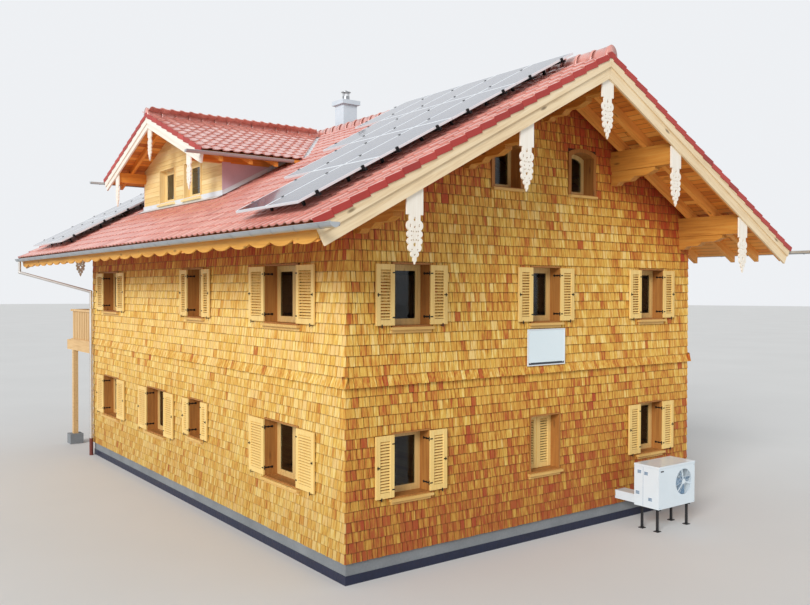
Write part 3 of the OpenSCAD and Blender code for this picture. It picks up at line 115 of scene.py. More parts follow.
def attribute(tree, name):
    return addNode(tree, "Attribute", attribute_name=name, attribute_type="GEOMETRY")["Fac"]


def bumps(tree, height, strength, distance):
    return addNode(tree, "Bump", {"Height": height, "Strength": strength, "Distance": distance})[0]


def mixColour(tree, factor, first, second):
    return addNode(tree, "Mix", {0: factor, 6: first, 7: second}, data_type="RGBA")[2]


def ramp(tree, factor, colours):
    # a ramp of evenly spaced screen colours
    node = tree.nodes.new("ShaderNodeValToRGB")
    tree.links.new(factor, node.inputs[0])
    band = node.color_ramp
    for _ in colours[2:]:
        band.elements.new(0.5)
    for number, (element, colour) in enumerate(zip(band.elements, colours)):
        element.position = number / (len(colours) - 1)
        element.color = screenColour(*colour)
    return node.outputs[0]


def newGroup(name, inputs, outputs):
    tree = bpy.data.node_groups.new(name, "ShaderNodeTree")
    for label, value in inputs.items():
        kind = "NodeSocketVector" if isinstance(value, tuple) else "NodeSocketFloat"
        tree.interface.new_socket(name=label, in_out="INPUT", socket_type=kind).default_value = value
    for label in outputs:
        tree.interface.new_socket(name=label, in_out="OUTPUT", socket_type="NodeSocketFloat")
    return tree, tree.nodes.new("NodeGroupInput").outputs, tree.nodes.new("NodeGroupOutput")


# one mesh that each small part passes through on its way into a larger one
scratch = bpy.data.meshes.new("scratch")


def pour(source, target, matrix=None):
    # adds a small bmesh to a large one, moved by the matrix
    if matrix is not None:
        bmesh.ops.transform(source, matrix=matrix, verts=source.verts)
    source.to_mesh(scratch)
    source.free()
    target.from_mesh(scratch)


def addBox(bm, low, high):
    low, high = Vector(low), Vector(high)
    size = high - low
    matrix = Matrix.Translation((low + high) / 2) @ Matrix.Diagonal((size.x, size.y, size.z, 1.0))
    return bmesh.ops.create_cube(bm, size=1.0, matrix=matrix)["verts"]


def addRod(bm, start, end, radius, segments=10):
    start, end = Vector(start), Vector(end)
    matrix = Matrix.Translation((start + end) / 2) @ (end - start).to_track_quat("Z", "Y").to_matrix().to_4x4()
    made = bmesh.ops.create_cone(bm, cap_ends=True, segments=segments, radius1=radius, radius2=radius,
                                 depth=(end - start).length, matrix=matrix)
    return made["verts"]


def roundEdges(bm, verts, width, segments=1):
    edges = list(dict.fromkeys(edge for vert in verts for edge in vert.link_edges))
    bmesh.ops.bevel(bm, geom=edges, offset=width, offset_type="OFFSET", segments=segments,
                    profile=0.5, affect="EDGES", material=-1, clamp_overlap=True)


def roundBox(bm, low, high, width, segments=1):
    roundEdges(bm, addBox(bm, low, high), width, segments)


def roundRod(bm, start, end, radius, width, sides=14, segments=1):
    roundEdges(bm, addRod(bm, start, end, radius, sides), width, segments)


def allOf(bm):
    return bm.verts[:] + bm.edges[:] + bm.faces[:]


def startToned():
    # a mesh with a tone for each point, which its finish reads
    bm = bmesh.new()
    bm.verts.layers.float.new("tone")
    return bm


def bentSheet(columns, rows, bend, thick, toned=False):
    # a thin closed sheet: a grid from -0.5 to 0.5 whose points bend() puts in place
    bm = startToned() if toned else bmesh.new()
    bmesh.ops.create_grid(bm, x_segments=columns, y_segments=rows, size=0.5)
    for vert in bm.verts:
        vert.co = bend(vert.co.x, vert.co.y)
    bmesh.ops.solidify(bm, geom=allOf(bm), thickness=thick)
    bmesh.ops.recalc_face_normals(bm, faces=bm.faces)
    return bm


def cutOff(bm, point, normal):
    # cuts back to a plane and closes the cut
    bmesh.ops.bisect_plane(bm, geom=allOf(bm), plane_co=point, plane_no=normal, clear_outer=True)
    bmesh.ops.holes_fill(bm, edges=[e for e in bm.edges if e.is_boundary])


def trim(bm, point, normal):
    # cuts a part only where it reaches over the plane
    if bm.verts and max((v.co - point).dot(normal) for v in bm.verts) > 0:
        cutOff(bm, point, normal)


def randomTone(rng):
    return min(max(rng.gauss(0.5, 0.2), 0.0), 1.0)


def meshOf(bm, name):
    mesh = bpy.data.meshes.new(name)
    bm.to_mesh(mesh)
    bm.free()
    return mesh


def finishPiece(bm, name, finish, body="house", smooth=False):
    mesh = meshOf(bm, name)
    mesh.materials.append(finishes[finish])
    if smooth:
        mesh.shade_smooth()
    piece = bpy.data.objects.new(name, mesh)
    scene.collection.objects.link(piece)
    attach(piece, body)
    return piece


# streaks, fine fibres and knots; the grain runs along X of the vector
grainMarks, ins, out = newGroup("grainMarks", {"Vector": (0.0, 0.0, 0.0), "Seed": 0.0}, ["Streak", "Fibre", "Knot"])
shift = addNode(grainMarks, "VectorMath", {0: (31.0, 17.0, 23.0), "Scale": ins["Seed"]}, operation="SCALE")[0]
place = addNode(grainMarks, "VectorMath", {0: ins["Vector"], 1: shift}, operation="ADD")[0]
for label, scale, detail in (("Streak", (1.4, 24.0, 24.0), 4.0), ("Fibre", (7.0, 190.0, 190.0), 2.0)):
    spread = addNode(grainMarks, "Mapping", {"Vector": place, "Scale": scale})[0]
    noise = addNode(grainMarks, "TexNoise", {"Vector": spread, "Scale": 1.0, "Detail": detail, "Distortion": 0.5})[0]
    feed(grainMarks, out, {label: noise})
spread = addNode(grainMarks, "Mapping", {"Vector": place, "Scale": (1.3, 4.2, 4.2)})[0]
cells = addNode(grainMarks, "TexVoronoi", {"Vector": spread, "Scale": 1.0})[0]
feed(grainMarks, out, {"Knot": fade(grainMarks, cells, 0.05, 0.13, 1.0, 0.0)})

# boards side by side: a tone for each board and the joint between them
boardSizes = {"Along": 0.0, "Across": 0.0, "Width": 0.14, "Length": 4.0}
boardRows, ins, out = newGroup("boardRows", boardSizes, ["Tone", "Joint"])
row = sums(boardRows, "DIVIDE", ins["Across"], ins["Width"])
rowNumber = sums(boardRows, "FLOOR", row)
stagger = addNode(boardRows, "TexWhiteNoise", {"W": rowNumber}, noise_dimensions="1D")[0]
column = plus(boardRows, sums(boardRows, "DIVIDE", ins["Along"], ins["Length"]), stagger)
pair = joinAxes(boardRows, (rowNumber, sums(boardRows, "FLOOR", column)))
tone = addNode(boardRows, "TexWhiteNoise", {"Vector": pair}, noise_dimensions="2D")[0]
rowEdge = times(boardRows, sums(boardRows, "PINGPONG", row, 0.5), ins["Width"])
endEdge = times(boardRows, sums(boardRows, "PINGPONG", column, 0.5), ins["Length"])
joint = fade(boardRows, sums(boardRows, "MINIMUM", rowEdge, endEdge), 0.002, 0.007, 1.0, 0.0)
feed(boardRows, out, {"Tone": tone, "Joint": joint})

# large blotches and small specks for stone, clay and metal
spotSizes = {"Vector": (0.0, 0.0, 0.0), "Blotch Scale": 2.0, "Speck Scale": 80.0}
surfaceSpots, ins, out = newGroup("surfaceSpots", spotSizes, ["Blotch", "Speck"])
for label, detail in (("Blotch", 5.0), ("Speck", 3.0)):
    size = ins[label + " Scale"]
    noise = addNode(surfaceSpots, "TexNoise", {"Vector": ins["Vector"], "Scale": size, "Detail": detail})[0]
    feed(surfaceSpots, out, {label: noise})


def spotsOn(tree, place, blotch, speck):
    sizes = {"Vector": place, "Blotch Scale": blotch, "Speck Scale": speck}
    return addNode(tree, "Group", sizes, node_tree=surfaceSpots)


def newFinish(name, roughness=0.5, metallic=0.0, **sockets):
    material = bpy.data.materials.new(name)
    material.use_nodes = True
    tree = material.node_tree
    shader = tree.nodes["Principled BSDF"]
    feed(tree, shader, {"Roughness": roughness, "Metallic": metallic})
    feed(tree, shader, {key.replace("_", " "): value for key, value in sockets.items()})
    return material, tree, shader, addNode(tree, "TexCoord")["Object"]


def grainSpace(tree, place, direction):
    # turns a place on the object so that X runs along the grain and Y across the boards
    x, y, z = splitAxes(tree, place)
    orders = {"x": (x, z, y), "y": (y, z, x), "z": (z, x, y), "yFlat": (y, x, z), "xFlat": (x, y, z)}
    if direction in orders:
        return joinAxes(tree, orders[direction])
    if direction.endswith("Roof"):
        side, other, cosine, sine = sums(tree, "ABSOLUTE", x), y, roofCos, roofSin
    else:
        side = sums(tree, "ABSOLUTE", sums(tree, "SUBTRACT", y, house["dormerY"]))
        other, cosine, sine = x, dormCos, dormSin
    down = sums(tree, "SUBTRACT", times(tree, side, cosine), times(tree, z, sine))
    depth = plus(tree, times(tree, side, sine), times(tree, z, cosine))
    return joinAxes(tree, (down, other, depth) if direction.startswith("down") else (other, down, depth))


# what all wood shares: shares of full strength, and heights in metres
wood = {
    "plankScale": 0.7, "plankDetail": 1.0, "seedStep": 9.0, "middle": 0.4, "fibre": 0.2,
    "knotDark": 0.28, "jointDark": 0.18, "jointShare": 0.85,
    "reliefStreak": 0.5, "reliefFibre": 0.3, "reliefJoint": 2.0, "relief": 0.5, "reliefDepth": 0.002,
    "roughFibre": 0.25, "smoother": 0.12,
    "warmTurns": 23.0, "warmShare": 0.26, "warm": (198, 112, 42),        # single shingles turn more orange
    # the lap colour and its two shares paint shade, with some dirt, just under the next course's butt
    "lapShadeFrom": 0.84, "lapShadeShare": 0.66, "lap": (84, 38, 14),              # where the next course laps over
    # the foot colour, its heights and its share paint shade on the lower rows, deeper toward the ground
    "groundShadeZ": (0.35, 3.4), "groundShadeShare": 0.34, "foot": (92, 56, 20),       # the lower rows, toward the ground
    "paleZ": 6.7, "paleX": -3.6, "pale": ((206, 170, 106), (236, 208, 146), (246, 226, 174)),
}


# a shingle's own orange tint, then painted shade under each butt and toward the ground
def shingleShades(tree, colour, tone, place):
    turned = sums(tree, "PINGPONG", times(tree, tone, wood["warmTurns"]), 1.0)
    colour = mixColour(tree, times(tree, turned, wood["warmShare"]), colour, screenColour(*wood["warm"]))
    # painted shade, with some dirt, just under the next course's butt
    lapped = fade(tree, attribute(tree, "lap"), wood["lapShadeFrom"], 1.0, 0.0, wood["lapShadeShare"])
    colour = mixColour(tree, lapped, colour, screenColour(*wood["lap"]))
    # painted shade on the lower rows, deeper toward the ground
    low = fade(tree, splitAxes(tree, place)[2], *wood["groundShadeZ"], wood["groundShadeShare"], 0.0)
    return mixColour(tree, low, colour, screenColour(*wood["foot"]))


def woodFinish(name, colours, direction, boards=None, toned=False, roughness=0.6, spread=0.5,
               streaks=0.8, knots=0.5, seed=0.0, paleHigh=False, lapped=False):
    material, tree, shader, place = newFinish(name, roughness)
    vector = grainSpace(tree, place, direction)
    joint = None
    if toned:
        tone = attribute(tree, "tone")
    elif boards:
        along, across, _ = splitAxes(tree, vector)
        sizes = {"Along": along, "Across": across, "Width": boards[0], "Length": boards[1]}
        tone, joint = addNode(tree, "Group", sizes, node_tree=boardRows)
    else:
        sizes = {"Vector": vector, "Scale": wood["plankScale"], "Detail": wood["plankDetail"]}
        tone = addNode(tree, "TexNoise", sizes)[0]
    ownSeed = plus(tree, times(tree, tone, wood["seedStep"] if toned or boards else 0.0), seed)
    streak, fibre, knot = addNode(tree, "Group", {"Vector": vector, "Seed": ownSeed}, node_tree=grainMarks)
    factor = sums(tree, "MULTIPLY_ADD", tone, spread, wood["middle"] - spread / 2 - streaks / 2)
    factor = plus(tree, factor, times(tree, streak, streaks))
    factor = plus(tree, factor, times(tree, fibre, wood["fibre"]), clamp=True)
    colour = ramp(tree, factor, colours)
    if knots:
        colour = mixColour(tree, times(tree, knot, knots), colour, darker(colours[0], wood["knotDark"]))
    height = plus(tree, times(tree, streak, wood["reliefStreak"]), times(tree, fibre, wood["reliefFibre"]))
    if joint:
        colour = mixColour(tree, times(tree, joint, wood["jointShare"]), colour, darker(colours[0], wood["jointDark"]))
        height = sums(tree, "SUBTRACT", height, times(tree, joint, wood["reliefJoint"]))
    # shingles get their orange tint plus painted shade under the butts and toward the ground
    if lapped:
        colour = shingleShades(tree, colour, tone, place)
    if paleHigh:
        # the dormer's windows are of pale wood, the others are dark
        x, _, z = splitAxes(tree, place)
        high = times(tree, sums(tree, "GREATER_THAN", z, wood["paleZ"]), sums(tree, "LESS_THAN", x, wood["paleX"]))
        colour = mixColour(tree, high, colour, ramp(tree, factor, wood["pale"]))
    rough = sums(tree, "MULTIPLY_ADD", fibre, wood["roughFibre"], roughness - wood["smoother"])
    normal = bumps(tree, height, wood["relief"], wood["reliefDepth"])
    feed(tree, shader, {"Base Color": colour, "Roughness": rough, "Normal": normal})
    return material


# what all stone, clay, plaster and metal share
plain = {"toneShare": 0.6, "roughSpeck": 0.2, "smoother": 0.1, "relief": 0.6}


def plainFinish(name, colours, roughness=0.5, metallic=0.0, blotch=2.0, speck=80.0, speckShare=0.35,
                bumpDepth=0.001, toned=False, foot=None, **sockets):
    material, tree, shader, place = newFinish(name, roughness, metallic, **sockets)
    spots = spotsOn(tree, place, blotch, speck)
    factor = plus(tree, times(tree, spots["Blotch"], 1.0 - speckShare), times(tree, spots["Speck"], speckShare))
    if toned:
        share = plain["toneShare"]
        factor = plus(tree, times(tree, attribute(tree, "tone"), share), times(tree, factor, 1.0 - share))
    colour = ramp(tree, factor, colours)
    if foot:
        # another, unpolished colour below a height
        below = sums(tree, "LESS_THAN", splitAxes(tree, place)[2], foot[0])
        colour = mixColour(tree, below, colour, ramp(tree, factor, foot[1]))
        feed(tree, shader, {"Metallic": times(tree, sums(tree, "SUBTRACT", 1.0, below), metallic)})
    rough = sums(tree, "MULTIPLY_ADD", spots["Speck"], plain["roughSpeck"], roughness - plain["smoother"])
    normal = bumps(tree, spots["Speck"], plain["relief"], bumpDepth)
    feed(tree, shader, {"Base Color": colour, "Roughness": rough, "Normal": normal})
    return material


larch = ((176, 66, 28), (178, 92, 32), (208, 150, 54), (230, 188, 84), (246, 218, 140))
honey = ((141, 81, 26), (192, 128, 48), (209, 158, 77))
soffit = ((170, 88, 26), (228, 144, 54), (246, 184, 92))
spruce = ((198, 162, 116), (236, 212, 172), (248, 234, 206))
pale = ((216, 202, 180), (242, 234, 220), (250, 246, 238))
gold = ((190, 144, 78), (234, 198, 120), (248, 224, 156))
rail = ((176, 132, 80), (216, 178, 124), (234, 204, 154))
matte = {"roughness": 0.85, "blotch": 3.0, "speck": 70.0, "bumpDepth": 0.002}

finishes = {
    "shingles": woodFinish("larchShingles", larch, "z", toned=True, spread=0.9, streaks=1.5, knots=0.25,
                           roughness=0.7, lapped=True),
    # the sheathing is near black so the gaps between shingles read as shadow: painted shade
    "sheathing": woodFinish("wallSheathing", ((44, 22, 12), (66, 36, 18), (84, 48, 26)), "x", boards=(0.2, 3.0),
                            roughness=0.8),
    "drip": woodFinish("dripWedge", ((90, 52, 28), (130, 82, 44), (160, 108, 62)), "x", roughness=0.75),
    "floor": woodFinish("floorBoards", honey, "yFlat", boards=(0.16, 3.6)),
    "beams": woodFinish("purlinTimber", honey, "yFlat", spread=0.4, streaks=0.9, knots=0.7),
    "rafters": woodFinish("rafterTimber", ((180, 104, 38), (236, 162, 74), (248, 196, 112)), "downRoof", knots=0.6),
    "soffit": woodFinish("soffitBoards", soffit, "alongRoof", boards=(0.14, 4.0), spread=0.8, streaks=0.6),
    "dormerSoffit": woodFinish("dormerSoffitBoards", soffit, "alongDormer", boards=(0.14, 4.0), spread=0.8,
                               streaks=0.6),
    "dormerRafters": woodFinish("dormerRafterTimber", soffit, "downDormer"),
    "dormerBeams": woodFinish("dormerPurlinTimber", soffit, "xFlat"),
    "barge": woodFinish("bargeSpruce", spruce, "downRoof", streaks=0.9, knots=0.8),
    "dormerBarge": woodFinish("dormerBargeSpruce", pale, "downDormer", knots=0.4),
    "pendants": woodFinish("pendantSpruce", pale, "z", spread=0.4, streaks=0.6, knots=0.3),
    "eaves": woodFinish("eavesBoard", ((160, 100, 32), (218, 156, 62), (238, 186, 92)), "y", knots=0.6),
    # the linings' colours are darkened for the shade in the window reveals: partly painted shade
    "linings": woodFinish("windowLining", ((118, 66, 26), (164, 106, 46), (196, 142, 72)), "z", spread=0.4,
                          paleHigh=True),
    "frames": woodFinish("windowFrame", ((168, 134, 78), (210, 174, 110), (230, 200, 142)), "z", roughness=0.45,
                         spread=0.4, paleHigh=True),
    "sills": woodFinish("windowSill", ((172, 128, 68), (216, 172, 96), (236, 202, 132)), "x", roughness=0.55,
                        paleHigh=True),
    "shutters": woodFinish("shutterLarch", gold, "z", spread=0.35, streaks=0.5, knots=0.15, roughness=0.5, seed=4.0),
    "dormerWall": woodFinish("dormerBoarding", ((202, 164, 96), (234, 204, 138), (248, 226, 170)), "y", knots=0.3),
    "dormerBoards": woodFinish("dormerClapboard", ((202, 164, 96), (236, 206, 140), (250, 230, 176)), "y", toned=True,
                               spread=0.4, knots=0.3),
    "balcony": woodFinish("balconyTimber", rail, "y"),
    "balconyRail": woodFinish("balconyRailTimber", rail, "z"),
    "doors": woodFinish("doorTimber", ((104, 62, 30), (152, 98, 52), (182, 128, 76)), "z", roughness=0.45, spread=0.4),
    # the clay tiles' colours run paler than fired clay, toward the sky's glare on them: partly painted reflection
    "clay": plainFinish("clayTile", ((164, 84, 74), (210, 134, 120), (226, 162, 148), (240, 190, 178)), roughness=0.34,
                        blotch=3.0, speck=60.0, toned=True, Coat_Weight=1.0, Coat_Roughness=0.2, Coat_IOR=1.65),
    "clayRed": plainFinish("vergeClay", ((132, 36, 32), (172, 54, 46), (196, 78, 68)), blotch=3.0, speck=60.0,
                           toned=True),
    # the plinth's concrete is darkened for the shade it lies in on the front: partly painted shade
    "concrete": plainFinish("plinthConcrete", ((92, 96, 99), (124, 128, 131), (152, 155, 157)), roughness=0.85,
                            blotch=1.6, speck=30.0, bumpDepth=0.003),
    "membrane": plainFinish("membraneBand", ((14, 18, 36), (30, 38, 68)), roughness=0.42, blotch=5.0, speck=14.0,
                            speckShare=0.5, bumpDepth=0.012),
    "zinc": plainFinish("zincSheet", ((150, 156, 160), (186, 190, 193), (206, 209, 211)), roughness=0.38,
                        metallic=0.85, blotch=2.5, speck=120.0),
    "pipe": plainFinish("downpipeSheet", ((176, 170, 164), (206, 200, 194), (222, 218, 213)), roughness=0.38,
                        metallic=0.7, blotch=2.5, speck=120.0, foot=(0.4805, ((86, 36, 28), (124, 56, 42)))),
    "plaster": plainFinish("chimneyPlaster", ((184, 196, 206), (206, 218, 226), (224, 233, 239)), **matte),
    "cheek": plainFinish("cheekPlaster", ((186, 158, 168), (212, 184, 194), (226, 200, 208)), **matte),
    "flashing": plainFinish("paleFlashing", ((206, 210, 214), (226, 229, 231), (238, 240, 241)), roughness=0.42,
                            metallic=0.25, blotch=4.0, speck=90.0),
    "steel": plainFinish("cowlSteel", ((120, 122, 124), (168, 170, 172), (198, 200, 202)), roughness=0.3,
                         metallic=1.0, blotch=6.0),
    "moduleFrame": plainFinish("moduleFrameMetal", ((214, 218, 222), (236, 239, 241)), roughness=0.35, metallic=0.15),
    "blackMetal": plainFinish("blackIron", ((16, 16, 18), (34, 34, 36)), roughness=0.45, metallic=0.6),
    "boardWhite": plainFinish("boardEnamel", ((216, 230, 235), (228, 240, 244)), roughness=0.4, blotch=1.5),
    "whiteMetal": plainFinish("pumpPaint", ((208, 220, 227), (226, 236, 241)), roughness=0.32, Coat_Weight=0.3),
    "darkPlastic": plainFinish("fanPlastic", ((34, 38, 44), (58, 62, 70)), blotch=6.0),
    "fan": plainFinish("fanBlade", ((62, 96, 128), (104, 142, 174)), roughness=0.42, blotch=6.0),
    "darkMetal": plainFinish("standMetal", ((30, 30, 32), (52, 52, 54)), roughness=0.45, metallic=0.3),
}

# panes are clear glass before dark rooms
finishes["glass"], tree, shader, place = newFinish("paneGlass", 0.02, 0.0, Transmission_Weight=1.0, IOR=1.33)
blotches = spotsOn(tree, place, 1.2, 9.0)["Blotch"]
feed(tree, shader, {"Base Color": ramp(tree, blotches, ((196, 206, 210), (226, 232, 234))),
                    "Normal": bumps(tree, blotches, 0.15, 0.004)})

# solar laminates: dark blue cells with pale gaps and fine conductors, read from the UVs
cell = {
    "gap": (0.012, 0.022), "gapColour": (176, 182, 192), "colours": ((16, 24, 52), (32, 44, 84)), "rough": (0.12, 0.06),
    "strands": 5.0, "strand": (0.03, 0.06), "strandShare": 0.5, "strandColour": (92, 100, 118),
    "coat": {"IOR": 1.5, "Coat_Weight": 0.5, "Coat_Roughness": 0.05},
}
finishes["cells"], tree, shader, place = newFinish("solarCells", 0.12, 0.0, **cell["coat"])
u, v, _ = splitAxes(tree, addNode(tree, "UVMap", uv_map="cells")[0])
edge = sums(tree, "MINIMUM", sums(tree, "PINGPONG", u, 0.5), sums(tree, "PINGPONG", v, 0.5))
strand = sums(tree, "PINGPONG", times(tree, u, cell["strands"]), 0.5)
blotches = spotsOn(tree, place, 1.4, 22.0)["Blotch"]
colour = ramp(tree, blotches, cell["colours"])
strandLine = fade(tree, strand, *cell["strand"], cell["strandShare"], 0.0)
colour = mixColour(tree, strandLine, colour, screenColour(*cell["strandColour"]))
colour = mixColour(tree, fade(tree, edge, *cell["gap"], 1.0, 0.0), colour, screenColour(*cell["gapColour"]))
feed(tree, shader, {"Base Color": colour, "Roughness": sums(tree, "MULTIPLY_ADD", blotches, *cell["rough"])})

# the CAD nodes by finish, also those that a piece below takes the place of
dressed = {
    "concrete": "foundation post_footings", "membrane": "membrane", "floor": "ground_floor upper_floor attic_floor",
    "sheathing": "front_wall back_wall left_wall right_wall", "drip": "drip_course", "beams": "purlins purlin_corbels",
    "rafters": "rafters_left rafters_right dormer_trimmers", "soffit": "roof_boards_left roof_boards_right",
    "dormerSoffit": "dormer_roof_boards", "dormerRafters": "dormer_rafters", "dormerBeams": "dormer_purlins",
    "barge": "front_bargeboards back_bargeboards", "dormerBarge": "dormer_bargeboards",
    "pendants": "front_pendants back_pendants dormer_pendants", "eaves": "eaves_boards",
    "zinc": "gutter_left gutter_right dormer_gutters", "pipe": "downpipes", "linings": "window_linings",
    "frames": "window_frames", "glass": "window_glass", "sills": "window_sills", "shutters": "shutters",
    "dormerWall": "dormer_front_wall", "plaster": "chimney", "cheek": "dormer_cheeks", "steel": "chimney_cowl",
    "moduleFrame": "solar_modules", "blackMetal": "solar_rails", "balcony": "balcony_frame balcony_floor",
    "balconyRail": "balcony_railing", "doors": "doors", "boardWhite": "wall_board",
    "whiteMetal": "pump_case pump_guard pump_duct", "fan": "pump_fan", "darkMetal": "pump_stand",
    "clay": "roof_tiles_left roof_tiles_right dormer_roof_tiles ridge_tiles",
}
for key, names in dressed.items():
    for name in names.split():
        for materialSlot in nodes[name].material_slots:
            materialSlot.link = "OBJECT"
            materialSlot.material = finishes[key]
print("finishes:", len(finishes))

# shingles in courses, each with its own width, tone and butt height
shingle = {
    "exposure": 0.170, "lap": 0.020, "narrow": 0.085, "wide": 0.170, "gap": 0.014, "least": 0.050, "scrap": 0.012,
    "deep": 0.020, "butt": 0.024, "atLap": 0.006, "jitter": 0.004, "dropOut": 0.3, "stagger": 0.020,
    "startZ": 0.352, "upperDrop": 0.016, "roofFromZ": 6.0, "seed": 21,
    # the flared course's tone drop is painted shade that evens out its lit upward face
    "flare": 0.056, "flareButt": 0.016, "flareThin": 0.006, "flareCurve": 1.3, "flareShadeDrop": 0.12,
    # each wall's own tone; the left wall's higher tone is partly painted sunlight
    "tone": {"front": 0.68, "back": 0.66, "left": 0.92, "right": 0.80}, "toneSpread": 0.12,
    # the lower storey's tone drop, and on the gables the further drop toward the ground, are painted shade
    "lowerShadeDrop": {"front": 0.11, "back": 0.11, "left": 0.08, "right": 0.08}, "groundShadeDrop": 0.28, "groundShadeReach": 2.4,
    "darkShare": 0.07, "darkDrop": (0.15, 0.35),
    # painted shade under the roof: how much darker, from how far below it, and over what height it fades
    "gableShade": (0.60, 1.7, 1.1), "sideShade": (0.66, 1.50, 0.5),
    "casing": 0.028, "sillEar": 0.072, "sillDeep": 0.073,
}


def wallHoles(windows, turn, extra):
    # rectangles (left, right, bottom, top) that the shingles leave free
    holes = list(extra)
    casing, ear = shingle["casing"], shingle["sillEar"]
    for middle, sill, width, height, _ in windows:
        left, right = middle * turn - width / 2, middle * turn + width / 2
        holes.append((left - casing, right + casing, sill - casing, sill + height + casing))
        holes.append((left - ear, right + ear, sill - shingle["sillDeep"], sill - casing))
    return holes


def cutByHoles(low, high, holes):
    # what is left of a board from low to high (u, z) beside, over and under the holes
    left, bottom = low
    right, top = high
    near = [h for h in holes if h[0] < right and h[1] > left and h[2] < top and h[3] > bottom]
    if not near:
        return [(left, right, bottom, top)]
    edges = sorted({left, right} | {min(max(e, left), right) for h in near for e in h[:2]})
    pieces = []
    for a, b in zip(edges, edges[1:]):
        if b - a < shingle["scrap"]:
            continue
        spans = [(bottom, top)]
        for h in near:
            if h[0] < (a + b) / 2 < h[1]:
                parts = [part for c, d in spans for part in ((c, min(d, h[2])), (max(c, h[3]), d))]
                spans = [part for part in parts if part[1] - part[0] > shingle["scrap"]]
        pieces += [(a, b, c, d) for c, d in spans]
    return pieces


def shingleTone(rng, side, gable, flared, bottom, middle):
    pick = rng.random()
    # the wall's tone, partly painted light: the left wall is raised as if in sun
    tone = shingle["tone"][side] + rng.gauss(0, shingle["toneSpread"])
    if pick < shingle["darkShare"]:
        tone -= rng.uniform(*shingle["darkDrop"])
    # painted shade: the lower storey darker, and the gables darker still toward the ground
    if bottom < house["beltFoot"] - shingle["upperDrop"] * 2:
        tone -= shingle["lowerShadeDrop"][side]
        if gable:
            tone -= shingle["groundShadeDrop"] * max(0.0, 1 - (bottom - shingle["startZ"]) / shingle["groundShadeReach"])
    # painted shade on the flared course
    if flared:
        tone -= shingle["flareShadeDrop"]
    # painted shade from the roof's overhang, deepest right under the roof
    share, start, fadeOver = shingle["gableShade" if gable else "sideShade"]
    under = (house["ridgeZ"] - roofTan * abs(middle) if gable else house["sideTop"]) - bottom
    tone -= share * min(max(0.0, (start - under) / fadeOver), 1.0)
    return min(max(tone, 0.0), 1.0)


def shingleRow(rng, side, gable, half, holes, topZ, number, bottom, pitch, flared):
    rowBm = startToned()
    lapLayer = rowBm.verts.layers.float.new("lap")
    toneLayer = rowBm.verts.layers.float["tone"]
    reach = half if (number + gable) % 2 else half - shingle["stagger"]
    if flared:
        reach = half + shingle["flare"] - 0.002
    if gable and bottom > shingle["roofFromZ"]:
        reach = min(reach, (house["ridgeZ"] - house["deckThick"] / roofCos - bottom) / roofTan)
    high = bottom + pitch + shingle["lap"]
    if not flared and high > house["beltFoot"] > bottom:
        high = house["beltFoot"] - 0.002
    place = -reach
    while place < reach - 0.001:
        width = rng.uniform(shingle["narrow"], shingle["wide"])
        if reach - place - width < shingle["least"]:
            width = reach - place
        drop = rng.uniform(-1, 1) * shingle["jitter"]
        tone = shingleTone(rng, side, gable, flared, bottom, place + width / 2)
        for a, b, c, d in cutByHoles((place, bottom), (place + width, high), holes):
            left = a + shingle["gap"] / 2 if a > -reach + 0.001 else a
            right = b - shingle["gap"] / 2 if b < reach - 0.001 else b
            foot = c + (drop if c == bottom else 0)
            for vert in addBox(rowBm, (left, 0.0, foot), (right, shingle["deep"], min(d, topZ))):
                share = (vert.co.z - bottom) / pitch
                vert[toneLayer], vert[lapLayer] = tone, share
                outer = vert.co.y > 0.01
                if flared:
                    back = shingle["flare"] * (1 - share) ** shingle["flareCurve"] if share < 1 else 0.0
                    vert.co.y = back + (shingle["flareButt"] - shingle["flareThin"] * share if outer else -0.002)
                elif outer:
                    butt = shingle["butt"] + drop * shingle["dropOut"]
                    vert.co.y = butt - (shingle["butt"] - shingle["atLap"]) * share
        place += width
    return rowBm


def shingleWall(side, turn, half, offset, holes, topZ, gable):
    name = side + "_shingles"
    rng = random.Random(shingle["seed"] + len(name))
    bm = startToned()
    bm.verts.layers.float.new("lap")
    beltFoot, startZ, exposure = house["beltFoot"], shingle["startZ"], shingle["exposure"]
    lowerRows = round((beltFoot - startZ) / exposure)
    lowerPitch = (beltFoot - startZ) / lowerRows
    rows = [(startZ + i * lowerPitch, lowerPitch, False) for i in range(lowerRows)]
    upper = beltFoot - shingle["upperDrop"]
    rows += [(upper + i * exposure, exposure, i == 0) for i in range(math.ceil((topZ - upper) / exposure))]
    for number, row in enumerate(rows):
        pour(shingleRow(rng, side, gable, half, holes, topZ, number, *row), bm)
    if gable:
        deckFoot = Vector((0, 0, house["ridgeZ"] - house["deckThick"] / roofCos - 0.003))
        for slope in (-1, 1):
            cutOff(bm, deckFoot, (slope * roofSin, 0, roofCos))
    bmesh.ops.transform(bm, matrix=turn @ Matrix.Translation((0, offset, 0)), verts=bm.verts)
    return finishPiece(bm, name, "shingles")


quarter = {"front": math.pi, "back": 0.0, "left": math.pi / 2, "right": -math.pi / 2}
walls = (("front", frontWindows, -1), ("back", gableWindows, 1), ("left", sideWindows, 1), ("right", sideWindows, -1))
atticHoles = [(-1.405, -0.605, 6.571, 7.48), (0.605, 1.405, 6.571, 7.48)]
ductHole = (-2.385, -2.075, 0.455, 0.635)
doorHoles = [(-0.53, 0.53, 0.352, 2.49), (-0.53, 0.53, 3.0, 5.25)]
otherHoles = {"front": [ductHole] + atticHoles, "back": doorHoles + atticHoles}
for side, windows, turnSign in walls:
    isGable = side in otherHoles
    sizes = ("halfWidth", "faceY", "gableTop") if isGable else ("halfLength", "faceX", "sideTop")
    half, offset, topZ = (house[size] for size in sizes)
    holes = wallHoles(windows, turnSign, otherHoles.get(side, []))
    piece = shingleWall(side, Matrix.Rotation(quarter[side], 4, "Z"), half, offset, holes, topZ, isGable)
    print(side, "shingles:", len(piece.data.polygons) // 6)

